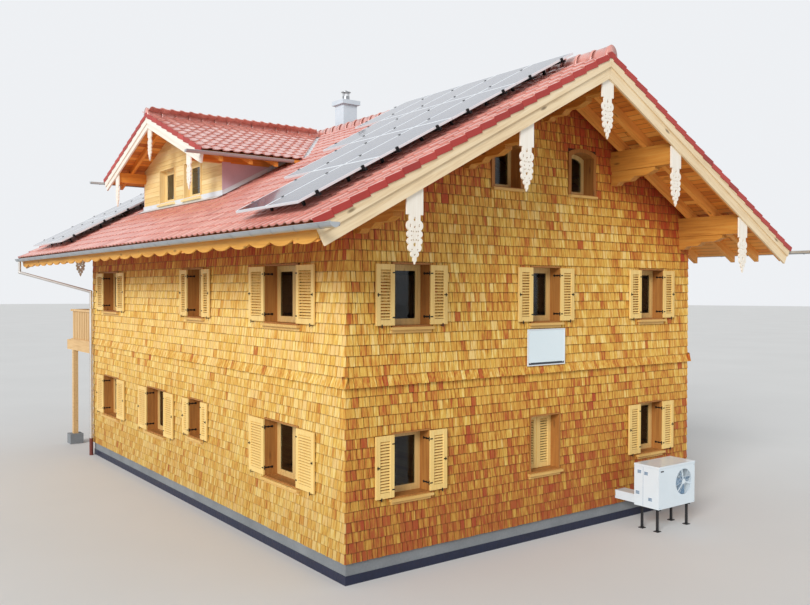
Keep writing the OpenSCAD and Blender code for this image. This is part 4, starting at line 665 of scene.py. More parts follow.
# interlocking clay tiles, laid in courses from the eaves up
tile = {
    "width": 0.235, "exposure": 0.335, "length": 0.395, "thick": 0.016, "lift": 0.014, "tilt": 0.020,
    "overhang": 0.08, "jitter": 0.003, "turn": 0.004, "seed": 5,
    "profile": [(0.00, 0.004), (0.15, 0.000), (0.36, 0.000), (0.55, 0.006),
                (0.70, 0.020), (0.82, 0.028), (0.95, 0.027), (1.08, 0.014)],
}
tileColumns = len(tile["profile"]) - 1


def bendTile(x, y):
    across, height = tile["profile"][round((x + 0.5) * tileColumns)]
    up = tile["length"] if y > 0 else 0.0
    return across * tile["width"], up, height - up / tile["exposure"] * tile["tilt"]


oneTile = meshOf(bentSheet(tileColumns, 1, bendTile, tile["thick"], toned=True), "oneTile")


def slopeMatrix(origin, down, along):
    # X along the eaves, Y up the slope, Z off the roof
    up = -Vector(down)
    normal = Vector(along).cross(up)
    return Matrix.Translation(origin) @ Matrix((along, up, normal)).transposed().to_4x4()


def layCopy(bm, mesh, tone, place, cut=None):
    # a copy of a tile's mesh, moved to its place and cut there
    one = bmesh.new()
    one.from_mesh(mesh)
    layer = one.verts.layers.float["tone"]
    for vert in one.verts:
        vert[layer] = tone
        vert.co = place @ vert.co
    if cut:
        cut(one)
    pour(one, bm)


def tileField(bm, origin, down, along, start, end, slopeLength, rng, keep, cut):
    matrix = slopeMatrix(origin, down, along)
    columns = math.ceil((end - start) / tile["width"] - tile["overhang"])
    width = (end - start) / (columns + tile["overhang"])
    for row in range(math.ceil(slopeLength / tile["exposure"])):
        foot = -slopeLength + row * tile["exposure"]
        for column in range(columns):
            left = start + column * width
            if not keep(matrix @ Vector((left + width / 2, foot + tile["exposure"] / 2, 0))):
                continue
            tone = randomTone(rng)
            up = foot + rng.uniform(-tile["jitter"], tile["jitter"])
            place = matrix @ Matrix.Translation((left, up, tile["lift"] + tile["thick"] + tile["tilt"]))
            turn = Matrix.Rotation(rng.uniform(-tile["turn"], tile["turn"]), 4, "Z")
            layCopy(bm, oneTile, tone, place @ Matrix.Diagonal((width / tile["width"], 1, 1, 1)) @ turn, cut)


def dormerSide(point):
    # how far inside the dormer's valley a place lies, in metres, below 0 on the main roof
    rise = house["ridgeZ"] - house["dormerTop"] + dormTan * abs(point.y - house["dormerY"])
    return abs(point.x) - rise / roofTan


valley = {"angle": math.atan2(dormTan, roofTan), "half": 0.055, "near": 0.4, "dormerNear": 0.5, "reach": 2.9,
          "hidden": 0.25, "fromFace": 0.16, "fromCheek": 0.14, "past": -0.12, "overRidge": 0.1}
centre = Vector((0, 0, 0))


def acrossValley(side):
    return Vector((math.cos(valley["angle"]), side * math.sin(valley["angle"]), 0))


def valleyPlane(side, inward):
    # the cut beside the valley: inward is 1 for the dormer's tiles and -1 for the main roof's
    normal = inward * acrossValley(side)
    start = Vector((-(house["ridgeZ"] - house["dormerTop"]) / roofTan, house["dormerY"], 0))
    return start - normal * valley["half"], normal


def middleOf(bm):
    middle = sum((v.co for v in bm.verts), Vector()) / len(bm.verts)
    return middle, -1 if middle.y < house["dormerY"] else 1


def cutMainValley(bm):
    trim(bm, centre, Vector((1, 0, 0)))
    middle, side = middleOf(bm)
    if abs(middle.y - house["dormerY"]) < valley["reach"] and abs(dormerSide(middle)) < valley["near"]:
        trim(bm, *valleyPlane(side, -1))


def cutDormerValley(bm):
    middle, side = middleOf(bm)
    trim(bm, Vector((0, house["dormerY"], 0)), Vector((0, -side, 0)))
    if dormerSide(middle) < valley["dormerNear"]:
        trim(bm, *valleyPlane(side, 1))


def onLeftRoof(p):
    # not under the dormer
    behindFace = dormerSide(p) > valley["hidden"] and abs(p.x) < house["dormerFace"] - valley["fromFace"]
    return not (behindFace and abs(p.y - house["dormerY"]) < house["dormerHalf"] - valley["fromCheek"])


def onDormer(p):
    return dormerSide(p) > valley["past"]


flue = {"x": 0.450, "y": 1.045, "half": 0.210, "keepOff": 0.12}


def onRightRoof(p):
    # not inside the chimney
    return not (abs(p.x - flue["x"]) < flue["keepOff"] and abs(p.y - flue["y"]) < flue["keepOff"])


rng = random.Random(tile["seed"])
slopeLength = house["eavesX"] / roofCos + house["pastEaves"]
leftDown, rightDown = Vector((-roofCos, 0, -roofSin)), Vector((roofCos, 0, -roofSin))
ridgePoint = Vector((0, 0, house["ridgeZ"]))
across = Vector((0, 1, 0))
dormerDown = {side: Vector((0, side * dormCos, -dormSin)) for side in (-1, 1)}

bm = startToned()
tileField(bm, ridgePoint, leftDown, -across, -house["tileBack"], -house["tileFront"], slopeLength, rng,
          onLeftRoof, cutMainValley)
leftTiles = finishPiece(bm, "clay_tiles_left", "clay")
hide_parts("roof_tiles_left")

bm = startToned()
tileField(bm, ridgePoint, rightDown, across, house["tileFront"], house["tileBack"], slopeLength, rng, onRightRoof,
          lambda one: trim(one, centre, Vector((-1, 0, 0))))
rightTiles = finishPiece(bm, "clay_tiles_right", "clay")
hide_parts("roof_tiles_right")

bm = startToned()
dormerPoint = Vector((0, house["dormerY"], house["dormerTop"]))
dormerLength = house["dormerEave"] / dormCos + house["dormerPastEaves"]
for side in (-1, 1):
    start, end = sorted((side * valley["overRidge"], side * house["dormerFront"]))
    tileField(bm, dormerPoint, dormerDown[side], Vector((-side, 0, 0)), start, end, dormerLength, rng,
              onDormer, cutDormerValley)
dormerTiles = finishPiece(bm, "clay_tiles_dormer", "clay")
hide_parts("dormer_roof_tiles")
print("clay tiles:", [len(o.data.polygons) for o in (leftTiles, rightTiles, dormerTiles)])

# ridge tiles, each lapped over the next, with a capped end over both gables
ridge = {
    "pitch": 0.355, "length": 0.410, "halfWidth": 0.120, "rise": 0.176, "thick": 0.012, "foot": 8.802,
    "dormerFoot": 8.762, "past": 0.006, "short": 0.04, "dormerShort": 0.13, "turn": 0.006, "seed": 9,
    "capSwell": 0.022, "capThick": 0.016, "capBelow": 0.012, "capTone": 0.4,
    "rings": [(0.000, 0.010), (0.012, 0.017), (0.048, 0.017), (0.060, 0.008), (0.230, 0.004), (1.0, -0.008)],
}
ridgeRings = len(ridge["rings"]) - 1


def bendRidgeTile(x, y):
    along, swell = ridge["rings"][round((y + 0.5) * ridgeRings)]
    angle = x * math.pi
    return ((ridge["halfWidth"] + swell) * math.sin(angle), min(along, ridge["length"]),
            (ridge["rise"] + swell) * math.cos(angle))


def ridgeRun(bm, start, direction, length, rng, capped):
    # a run of ridge tiles from its outer end, with closed ends
    direction, up = Vector(direction), Vector((0, 0, 1))
    base = Matrix.Translation(start) @ Matrix((direction.cross(up), direction, up)).transposed().to_4x4()
    count = math.ceil(length / ridge["pitch"])
    for number in range(count):
        tone = randomTone(rng)
        place = base @ Matrix.Translation((0, number * (length / count), 0))
        layCopy(bm, oneRidgeTile, tone, place @ Matrix.Rotation(rng.uniform(-ridge["turn"], ridge["turn"]), 4, "Z"))
    for end in capped:
        one = startToned()
        layer = one.verts.layers.float["tone"]
        middle = base @ Matrix.Translation((0, end, 0)) @ Matrix.Rotation(math.pi / 2, 4, "X")
        shape = Matrix.Diagonal((ridge["halfWidth"] + ridge["capSwell"], ridge["rise"] + ridge["capSwell"], 1, 1))
        bmesh.ops.create_cone(one, cap_ends=True, segments=28, radius1=1.0, radius2=1.0, depth=ridge["capThick"],
                              matrix=middle @ shape)
        trim(one, base.translation - up * ridge["capBelow"], -up)
        for vert in one.verts:
            vert[layer] = ridge["capTone"]
        pour(one, bm)


oneRidgeTile = meshOf(bentSheet(12, ridgeRings, bendRidgeTile, ridge["thick"], toned=True), "oneRidgeTile")
rng = random.Random(ridge["seed"])
bm = startToned()
mainLength = house["tileBack"] - house["tileFront"]
ridgeRun(bm, (0, house["tileFront"] - ridge["past"], ridge["foot"]), (0, 1, 0), mainLength - ridge["short"], rng,
         (0.0, mainLength + ridge["past"]))
ridgeRun(bm, (-house["dormerFront"] - ridge["past"], house["dormerY"], ridge["dormerFoot"]), (1, 0, 0),
         house["dormerFront"] - ridge["dormerShort"], rng, (0.0,))
ridgeTiles = finishPiece(bm, "clay_ridge_tiles", "clay", smooth=True)
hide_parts("ridge_tiles")

# the verge tiles' flanges hang in steps over the bargeboards
verge = {"thick": 0.014, "below": 0.030, "above": 0.074, "gap": 0.002, "joint": 0.003, "steeper": 1.3, "round": 0.004}


def vergeFlanges(bm, origin, down, along, length, edges, rng, cutPlane):
    matrix = slopeMatrix(origin, down, along)
    for row in range(math.ceil(length / tile["exposure"])):
        foot = -length + row * tile["exposure"]
        for edge, outward in edges:
            one = bmesh.new()
            near, far = sorted((edge + outward * verge["gap"], edge + outward * (verge["gap"] + verge["thick"])))
            top = foot + tile["exposure"] - verge["joint"]
            roundBox(one, (near, foot, -verge["below"]), (far, top, verge["above"]), verge["round"])
            layer = one.verts.layers.float.new("tone")
            tone = randomTone(rng)
            for vert in one.verts:
                vert[layer] = tone
                vert.co.z -= (vert.co.y - foot) / tile["exposure"] * tile["tilt"] * verge["steeper"]
                vert.co = matrix @ vert.co
            trim(one, *cutPlane)
            pour(one, bm)


bm = startToned()
mainEdges = [(house["tileFront"], -1), (house["tileBack"], 1)]
vergeFlanges(bm, ridgePoint, rightDown, across, slopeLength, mainEdges, rng, (centre, Vector((-1, 0, 0))))
mainEdges = [(-edge, -side) for edge, side in mainEdges]
vergeFlanges(bm, ridgePoint, leftDown, -across, slopeLength, mainEdges, rng, (centre, Vector((1, 0, 0))))
for side in (-1, 1):
    vergeFlanges(bm, dormerPoint, dormerDown[side], Vector((-side, 0, 0)), dormerLength,
                 [(side * house["dormerFront"], side)], rng, (dormerPoint, Vector((0, -side, 0))))
bmesh.ops.recalc_face_normals(bm, faces=bm.faces)
vergeTiles = finishPiece(bm, "clay_verge_tiles", "clayRed")
print("ridge and verge tiles:", len(ridgeTiles.data.polygons), len(vergeTiles.data.polygons))

# sheet metal: valleys, the dormer's aprons and the collar round the chimney; lifts are off the roof's timber
sheet = {
    "thick": 0.003, "lift": 0.084, "round": 0.003, "valleyWidth": 0.13, "valleyPast": 0.02, "valleyLift": 0.028,
    "apronFootLift": 0.075, "apronBelow": 0.05, "apronUp": 0.095, "apronDepth": (0.030, 0.019), "apronPast": 0.03,
    "apronDown": 0.17, "apronAside": 0.08,
    "step": (0.004, 0.016), "stepLift": 0.070, "stepHigh": 0.10, "stepWide": 0.11, "stepFrom": 0.02, "stepShort": 0.1,
    "collar": 0.030, "collarZ": (7.9, 9.2), "collarLift": (0.06, 0.22),
    "skirt": 0.10, "skirtDown": 0.04, "skirtThick": 0.010, "skirtLift": 0.076,
}


def mainTop(x, lift):
    return house["ridgeZ"] - roofTan * abs(x) + lift / roofCos


def slopeSheet(bm, xs, ys):
    # a thin sheet over part of the left slope, parallel to it
    def bend(x, y):
        x = xs[0 if x < 0 else 1]
        return x, ys[0 if y < 0 else 1], mainTop(x, sheet["lift"])
    pour(bentSheet(1, 1, bend, sheet["thick"]), bm)


bm = bmesh.new()
for side in (-1, 1):
    def bendValley(x, y):
        along = (y + 0.5) * (house["dormerEave"] + sheet["valleyPast"])
        start = -(house["ridgeZ"] - house["dormerTop"] + dormTan * along) / roofTan
        aside = acrossValley(side) * (2 * x * sheet["valleyWidth"])
        point = Vector((start, house["dormerY"] + side * along, 0)) + aside
        dormerZ = house["dormerTop"] - dormTan * abs(point.y - house["dormerY"])
        point.z = max(mainTop(point.x, 0), dormerZ) + sheet["valleyLift"]
        return point
    pour(bentSheet(2, 12, bendValley, sheet["thick"]), bm)
finishPiece(bm, "valley_sheets", "flashing")

bm = bmesh.new()
wallX = house["dormerFace"]
low, high = house["dormerY"] - house["dormerHalf"], house["dormerY"] + house["dormerHalf"]
foot, (outer, inner) = mainTop(wallX, sheet["apronFootLift"]), sheet["apronDepth"]
roundBox(bm, (-wallX - outer, low - sheet["apronPast"], foot - sheet["apronBelow"]),
         (-wallX - inner, high + sheet["apronPast"], foot + sheet["apronUp"]), sheet["round"])
slopeSheet(bm, (-wallX - sheet["apronDown"], -wallX), (low - sheet["apronAside"], high + sheet["apronAside"]))
outer, inner = -wallX - sheet["stepFrom"], -house["dormerHalf"] + sheet["stepShort"]
for side, edge in ((-1, low), (1, high)):
    near, far = sorted(edge + side * off for off in sheet["step"])
    one = bmesh.new()
    for vert in addBox(one, (outer, near, 0.0), (inner, far, sheet["stepHigh"])):
        vert.co.z += mainTop(vert.co.x, sheet["stepLift"])
    pour(one, bm)
    slopeSheet(bm, (outer, inner), sorted((edge, edge + side * sheet["stepWide"])))
one = bmesh.new()
x, y, half = flue["x"], flue["y"], flue["half"] + sheet["collar"]
low, high = sheet["collarZ"]
addBox(one, (x - half, y - half, low), (x + half, y + half, high))
for lift, sign in zip(sheet["collarLift"], (-1, 1)):
    trim(one, Vector((x, 0, mainTop(x, lift))), Vector((roofSin, 0, roofCos)) * sign)
pour(one, bm)
one = bmesh.new()
half += sheet["skirt"]
roundBox(one, (x - half, y - half, 0), (x + half + sheet["skirtDown"], y + half, sheet["skirtThick"]), sheet["round"])
for vert in one.verts:
    vert.co.z += mainTop(vert.co.x, sheet["skirtLift"])
pour(one, bm)
finishPiece(bm, "roof_flashings", "flashing")

# clapboards on the dormer's front, cut round its windows and under its roof, with plaster on the wall's ends
clapboard = {
    "exposure": 0.118, "lap": 0.012, "butt": 0.018, "top": 0.006, "rows": 18, "lengths": (1.5, 3.2), "least": 0.6,
    "joint": 0.002, "firstLift": 0.03, "underRoof": 0.064, "windowY": (0.230, 1.810), "seed": 3,
    "casing": (-0.028, 0.968, 6.8205, 7.6985), "sill": (-0.072, 1.012, 6.775, 6.826),
    "plaster": {"off": (-0.002, 0.004), "depth": (-0.019, 0.182), "z": (6.5, 7.48)},
}
rng = random.Random(clapboard["seed"])
low, high = house["dormerY"] - house["dormerHalf"], house["dormerY"] + house["dormerHalf"]
bm = startToned()
holes = [(y + left, y + right, bottom, top) for left, right, bottom, top in (clapboard["casing"], clapboard["sill"])
         for y in clapboard["windowY"]]
under = Vector((0, house["dormerY"], house["dormerTop"] - clapboard["underRoof"] / dormCos))
for row in range(clapboard["rows"]):
    bottom = mainTop(wallX, clapboard["firstLift"]) + row * clapboard["exposure"]
    top = bottom + clapboard["exposure"] + clapboard["lap"]
    place = low
    while place < high - 0.01:
        length = rng.uniform(*clapboard["lengths"])
        if high - place - length < clapboard["least"]:
            length = high - place
        tone = rng.random()
        for a, b, c, d in cutByHoles((place, bottom), (place + length - clapboard["joint"], top), holes):
            one = startToned()
            toneLayer = one.verts.layers.float["tone"]
            for vert in addBox(one, (-1, a, c), (0, b, d)):
                share = (vert.co.z - bottom) / clapboard["exposure"]
                thick = clapboard["butt"] + (clapboard["top"] - clapboard["butt"]) * share
                vert.co.x = -wallX - (thick if vert.co.x < -0.5 else 0.0)
                vert[toneLayer] = tone
            for side in (-1, 1):
                trim(one, under, Vector((0, side * dormSin, dormCos)))
            pour(one, bm)
        place += length
finishPiece(bm, "dormer_clapboards", "dormerBoards")

bm = bmesh.new()
(front, back), (bottom, top) = clapboard["plaster"]["depth"], clapboard["plaster"]["z"]
for side, edge in ((-1, low), (1, high)):
    near, far = sorted(edge + side * off for off in clapboard["plaster"]["off"])
    one = bmesh.new()
    addBox(one, (-wallX + front, near, bottom), (-wallX + back, far, top))
    trim(one, under, Vector((0, side * dormSin, dormCos)))
    pour(one, bm)
finishPiece(bm, "dormer_corner_plaster", "cheek")

# louvred shutter leaves with rounded frames and sloping slats
shutter = {
    "thick": 0.036, "stile": 0.088, "rail": 0.095, "railInset": 0.002, "gap": 0.003, "clear": 0.006, "round": 0.004,
    "slatPitch": 0.050, "slatThick": 0.009, "slatDepth": 0.041, "slatTurn": math.radians(-48),
    "back": 0.035, "shutBack": -0.219, "strip": (0.020, -0.183, -0.171), "stripRound": 0.003,
    "apron": {"ear": 0.045, "depth": (0.004, 0.032), "below": (0.128, 0.070)},
}


def wallSpace(side):
    # X along the wall, Y outward from its face, Z up
    depth = house["faceY"] if side in ("front", "back") else house["faceX"]
    return Matrix.Rotation(quarter[side], 4, "Z") @ Matrix.Translation((0, depth, 0))


def addLeaf(bm, matrix, left, right, back, bottom, top):
    one = bmesh.new()
    front, inset = back + shutter["thick"], shutter["railInset"]
    inLeft, inRight = left + shutter["stile"], right - shutter["stile"]
    inBottom, inTop = bottom + shutter["rail"], top - shutter["rail"]
    for a, b in ((left, inLeft), (inRight, right)):
        roundBox(one, (a, back, bottom), (b, front, top), shutter["round"])
    for a, b in ((bottom, inBottom), (inTop, top)):
        roundBox(one, (inLeft, back + inset, a), (inRight, front - inset, b), shutter["round"])
    count = round((inTop - inBottom) / shutter["slatPitch"])
    shape = Matrix.Diagonal((1, shutter["slatDepth"], shutter["slatThick"], 1)) @ Matrix.Rotation(math.pi / 2, 4, "Y")
    for number in range(count):
        z = inBottom + (number + 0.5) * (inTop - inBottom) / count
        middle = Matrix.Translation(((inLeft + inRight) / 2, (back + front) / 2, z))
        bmesh.ops.create_cone(one, cap_ends=True, segments=8, radius1=0.5, radius2=0.5, depth=inRight - inLeft + 0.004,
                              matrix=middle @ Matrix.Rotation(shutter["slatTurn"], 4, "X") @ shape)
    pour(one, bm, matrix)


# strap hinges, a latch and a holder for one open leaf, in metres from the leaf's own edges
iron = {
    "hingeAt": (0.13, 0.86), "pinOff": 0.006, "pin": (0.044, 0.036, 0.009), "arm": (-0.120, 0.040, 0.012),
    "armX": (-0.005, 0.001), "round": 0.0015,
    "rosettes": ((-0.112, 0.024), (-0.035, 0.020)), "strap": (-0.008, 0.050, 0.003, 0.011),
    "latch": (0.020, 0.082, 0.006, 0.009), "knobOff": 0.037, "knob": (0.004, 0.026, 0.010), "plate": (0.009, 0.030),
    "holderOff": 0.11, "holderDrop": 0.020, "holder": (0.012, 0.010, 0.006),
    "catch": (0.012, 0.003, 0.009, 0.042, 0.020),
}


def addIronwork(bm, matrix, inner, outer, bottom, top):
    one = bmesh.new()
    face = shutter["back"] + shutter["thick"]
    away = 1 if outer > inner else -1
    pinX = inner - away * iron["pinOff"]
    for share in iron["hingeAt"]:
        z = bottom + share * (top - bottom)
        left, right = sorted(inner + away * off for off in iron["armX"])
        back, front, half = iron["arm"]
        roundBox(one, (left, back, z - half), (right, front, z + half), iron["round"])
        for depth, swell in iron["rosettes"]:
            roundRod(one, (pinX, depth, z), (inner + away * iron["armX"][1], depth, z), swell, iron["round"])
        depth, half, radius = iron["pin"]
        addRod(one, (pinX, depth, z - half), (pinX, depth, z + half), radius)
        start, end, thick, half = iron["strap"]
        left, right = sorted((inner + away * start, inner + away * end))
        roundBox(one, (left, face, z - half), (right, face + thick, z + half), 0.001)
    z = (bottom + top) / 2
    end, start, thick, half = iron["latch"]
    left, right = sorted((outer - away * start, outer - away * end))
    roundBox(one, (left, face, z - half), (right, face + thick, z + half), 0.002)
    x = outer - away * iron["knobOff"]
    back, front, radius = iron["knob"]
    wide, half = iron["plate"]
    roundBox(one, (x - wide, face, z - half), (x + wide, face + back, z + half), iron["round"])
    addRod(one, (x, face + back, z), (x, face + front, z), radius)
    x, z = outer - away * iron["holderOff"], bottom - iron["holderDrop"]
    back, front, radius = iron["holder"]
    addRod(one, (x, back, z), (x, face + front, z), radius)
    half, back, front, below, above = iron["catch"]
    roundBox(one, (x - half, face + back, bottom - below), (x + half, face + front, bottom + above), 0.0025)
    pour(one, bm, matrix)


leaves, ironParts, aprons = bmesh.new(), bmesh.new(), bmesh.new()
for side, windows, turnSign in walls:
    matrix = wallSpace(side)
    for middle, sillZ, width, height, opens in windows:
        middle *= turnSign
        bottom, top = sillZ + shutter["clear"], sillZ + height - shutter["clear"]
        for away in (-1, 1):
            inner = middle + away * width / 2
            outer = inner + away * (width / 2 - shutter["gap"])
            if opens:
                addLeaf(leaves, matrix, *sorted((inner, outer)), shutter["back"], bottom, top)
                addIronwork(ironParts, matrix, inner, outer, bottom, top)
            else:
                meeting = middle + away * shutter["gap"]
                addLeaf(leaves, matrix, *sorted((inner, meeting)), shutter["shutBack"], bottom, top)
        if not opens:
            one = bmesh.new()
            half, back, front = shutter["strip"]
            roundBox(one, (middle - half, back, bottom), (middle + half, front, top), shutter["stripRound"])
            pour(one, leaves, matrix)
        one = bmesh.new()
        half, (back, front) = width / 2 + shutter["apron"]["ear"], shutter["apron"]["depth"]
        low, high = (sillZ - below for below in shutter["apron"]["below"])
        roundBox(one, (middle - half, back, low), (middle + half, front, high), shutter["round"])
        pour(one, aprons, matrix)
shutterLeaves = finishPiece(leaves, "louvred_shutters", "shutters")
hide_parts("shutters")
ironwork = finishPiece(ironParts, "shutter_ironwork", "blackMetal")
finishPiece(aprons, "sill_aprons", "sills")
print("shutters:", len(shutterLeaves.data.polygons), "ironwork:", len(ironwork.data.polygons))

# solar modules: a metal frame, a laminate with its cells, and clamps on the rails
module = {
    "wide": 0.990, "high": 1.590, "thick": 0.040, "top": 0.255, "rim": 0.032, "gap": 0.015, "lowEdge": 6.478,
    "rows": ((2, 3), (3, 3), (4, 3), (5, 4)), "frontStart": -7.500, "backEnd": 7.875, "across": 6, "down": 10,
    "glassDrop": (0.009, 0.002), "frameLip": 0.006, "round": 0.002, "rails": (0.22, 0.78),
    "clamp": (0.025, 0.017, 0.050, 0.005), "bolt": (0.010, 0.007),
}
slope = Matrix.Translation(ridgePoint) @ Matrix.Rotation(-house["pitch"], 4, "Y")
frames, panes, clamps = bmesh.new(), bmesh.new(), bmesh.new()
panes.loops.layers.uv.new("cells")


def addModule(x, y):
    one = bmesh.new()
    topZ = module["top"]
    addBox(one, (x, y, topZ - module["thick"]), (x + module["high"], y + module["wide"], topZ))
    roundEdges(one, one.verts[:], module["round"])
    face = max(one.faces, key=lambda f: (round(f.calc_center_median().z, 4), f.calc_area()))
    bmesh.ops.inset_region(one, faces=[face], thickness=module["rim"])
    bmesh.ops.translate(one, vec=(0, 0, -module["frameLip"]), verts=face.verts)
    pour(one, frames, slope)
    one = bmesh.new()
    rim = module["rim"] + 0.001
    uv = one.loops.layers.uv.new("cells")
    below, above = (topZ - drop for drop in module["glassDrop"])
    addBox(one, (x + rim, y + rim, below), (x + module["high"] - rim, y + module["wide"] - rim, above))
    for face in one.faces:
        for loop in face.loops:
            loop[uv].uv = ((loop.vert.co.y > y + 0.5) * module["across"], (loop.vert.co.x > x + 0.5) * module["down"])
    pour(one, panes, slope)


def addClamp(x, y):
    one = bmesh.new()
    (halfX, halfY, below, above), (high, radius), topZ = module["clamp"], module["bolt"], module["top"]
    roundBox(one, (x - halfX, y - halfY, topZ - below), (x + halfX, y + halfY, topZ + above), module["round"])
    addRod(one, (x, y, topZ), (x, y, topZ + high), radius, 6)
    pour(one, clamps, slope)


step = module["wide"] + module["gap"]
for row, (frontCount, backCount) in enumerate(module["rows"]):
    x = -module["lowEdge"] + row * (module["high"] + module["gap"])
    backStart = module["backEnd"] - backCount * step + module["gap"]
    for count, start in ((frontCount, module["frontStart"]), (backCount, backStart)):
        for column in range(count):
            addModule(x, start + column * step)
        for edge in range(count + 1):
            for share in module["rails"]:
                addClamp(x + share * module["high"], start - module["gap"] / 2 + edge * step)
solarFrames = finishPiece(frames, "solar_frames", "moduleFrame")
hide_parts("solar_modules")
finishPiece(panes, "solar_laminates", "cells")
finishPiece(clamps, "module_clamps", "blackMetal")
print("solar modules:", len(solarFrames.data.polygons))

# gutter brackets and the rolled bead along each gutter's rim
gutter = {"x": 6.018, "z": 5.5836, "radius": 0.072, "front": -8.825, "back": 8.915, "pitch": 0.66, "bead": 0.009,
          "strap": 0.025, "strapThick": 0.003, "dormerOff": 3.225, "dormerZ": 7.5284, "dormerRadius": 0.055,
          "dormerFront": -5.118, "dormerBack": -2.674, "dormerStart": 0.25, "dormerPitch": 0.6, "dormerBead": 0.007}


def addStrap(bm, matrix, radius):
    # a flat strap bent under a half-round gutter
    thick, half = gutter["strapThick"], gutter["strap"] / 2

    def bend(x, y):
        angle = math.pi * (x + 0.5)
        return (radius + thick) * math.cos(angle), y * gutter["strap"], -(radius + thick) * math.sin(angle)
    one = bentSheet(14, 1, bend, thick)
    roundBox(one, (-radius - 0.006, -half, -0.004), (radius + 0.006, half, 0.0), 0.001)
    pour(one, bm, matrix)


bm = bmesh.new()
front, back = gutter["front"], gutter["back"]
for side in (-1, 1):
    count = round((back - front) / gutter["pitch"])
    for number in range(count):
        y = front + (number + 0.5) * (back - front) / count
        addStrap(bm, Matrix.Translation((side * gutter["x"], y, gutter["z"])), gutter["radius"])
    rim = side * (gutter["x"] + gutter["radius"] - 0.001)
    addRod(bm, (rim, front, gutter["z"]), (rim, back, gutter["z"]), gutter["bead"], 12)
    y, z = house["dormerY"] + side * (gutter["dormerOff"] + gutter["dormerRadius"]), gutter["dormerZ"]
    addRod(bm, (gutter["dormerFront"], y, z), (gutter["dormerBack"], y, z), gutter["dormerBead"], 12)
    for number in range(4):
        x = gutter["dormerFront"] + gutter["dormerStart"] + number * gutter["dormerPitch"]
        place = Matrix.Translation((x, house["dormerY"] + side * gutter["dormerOff"], z))
        addStrap(bm, place @ Matrix.Rotation(math.pi / 2, 4, "Z"), gutter["dormerRadius"])
finishPiece(bm, "gutter_straps_and_beads", "zinc")

# heat pump: the wire guard, a lid, seams, grips, screws and a handle
pump = {
    "low": (1.970, -7.819, 0.460), "high": (3.130, -7.235, 1.280), "fan": Vector((2.764, -7.822, 0.920)),
    "rings": 9, "firstRing": 0.045, "ringStep": 0.0262, "wire": 0.0018, "spokes": 8, "spokeTurn": 0.2,
    "spoke": (0.04, 0.270, 0.0022), "hub": 0.05, "lid": (0.006, 0.030, 0.012),
    "seamY": ((-7.45, -7.445), (-7.60, -7.595)), "proud": 0.0015, "deep": 0.004,
    "grips": ((-7.40, 1.110), (-7.56, 1.095), (-7.36, 0.690), (-7.66, 0.600)), "gripBars": 3, "gripStep": 0.022,
    "gripLong": 0.085, "gripHigh": 0.014, "screw": (0.03, 0.06, 0.006), "handle": (2.03, 2.12, 1.185, 1.210),
}
outward = Vector((0, -1, 0))
low, high = pump["low"], pump["high"]
bm = bmesh.new()
for number in range(pump["rings"]):
    one = bmesh.new()
    start = pump["fan"] + Vector((pump["firstRing"] + number * pump["ringStep"], 0, 0))
    bmesh.ops.create_circle(one, cap_ends=False, segments=6, radius=pump["wire"], matrix=Matrix.Translation(start))
    bmesh.ops.spin(one, geom=one.verts[:] + one.edges[:], cent=pump["fan"], axis=(0, 1, 0), dvec=(0, 0, 0),
                   angle=2 * math.pi, steps=48, use_merge=True, use_duplicate=False)
    bmesh.ops.recalc_face_normals(one, faces=one.faces)
    pour(one, bm)
for number in range(pump["spokes"]):
    angle = number * 2 * math.pi / pump["spokes"] + pump["spokeTurn"]
    reach = Vector((math.cos(angle), 0, math.sin(angle)))
    middle = pump["fan"] + outward * 0.001
    start, end, radius = pump["spoke"]
    addRod(bm, middle + reach * start, middle + reach * end, radius, 6)
roundRod(bm, pump["fan"] + outward * 0.006, pump["fan"] - outward * 0.004, pump["hub"], 0.002, 32)
past, below, above = pump["lid"]
roundBox(bm, (low[0] - past, low[1] - past - 0.002, high[2] - below), (high[0] + past, high[1] + past, high[2] + above),
         past, 2)
finishPiece(bm, "pump_wire_guard", "whiteMetal")

bm = bmesh.new()
proud, deep = pump["proud"], pump["deep"]
seamXs = ((low[0] - proud, low[0] + deep), (high[0] - deep, high[0] + proud))
bars = [((x0, y0, low[2] + deep), (x1, y1, high[2] - 0.032)) for (x0, x1), (y0, y1) in zip(seamXs, pump["seamY"])]
for y, z in pump["grips"]:
    for number in range(pump["gripBars"]):
        foot = z + number * pump["gripStep"]
        bars.append(((low[0] - deep, y, foot), (low[0] + deep, y + pump["gripLong"], foot + pump["gripHigh"])))
for lower, upper in bars:
    roundBox(bm, lower, upper, 0.0012)
inset, below, radius = pump["screw"]
for x in (low[0] + inset, high[0] - inset):
    for z in (low[2] + inset, high[2] - below):
        addRod(bm, (x, low[1] - 0.003, z), (x, low[1] + 0.002, z), radius)
finishPiece(bm, "pump_seams_and_screws", "fan")

bm = bmesh.new()
x0, x1, z0, z1 = pump["handle"]
roundBox(bm, (x0, low[1] - 0.006, z0), (x1, low[1] + 0.004, z1), 0.004, 2)
finishPiece(bm, "pump_handle", "darkPlastic")

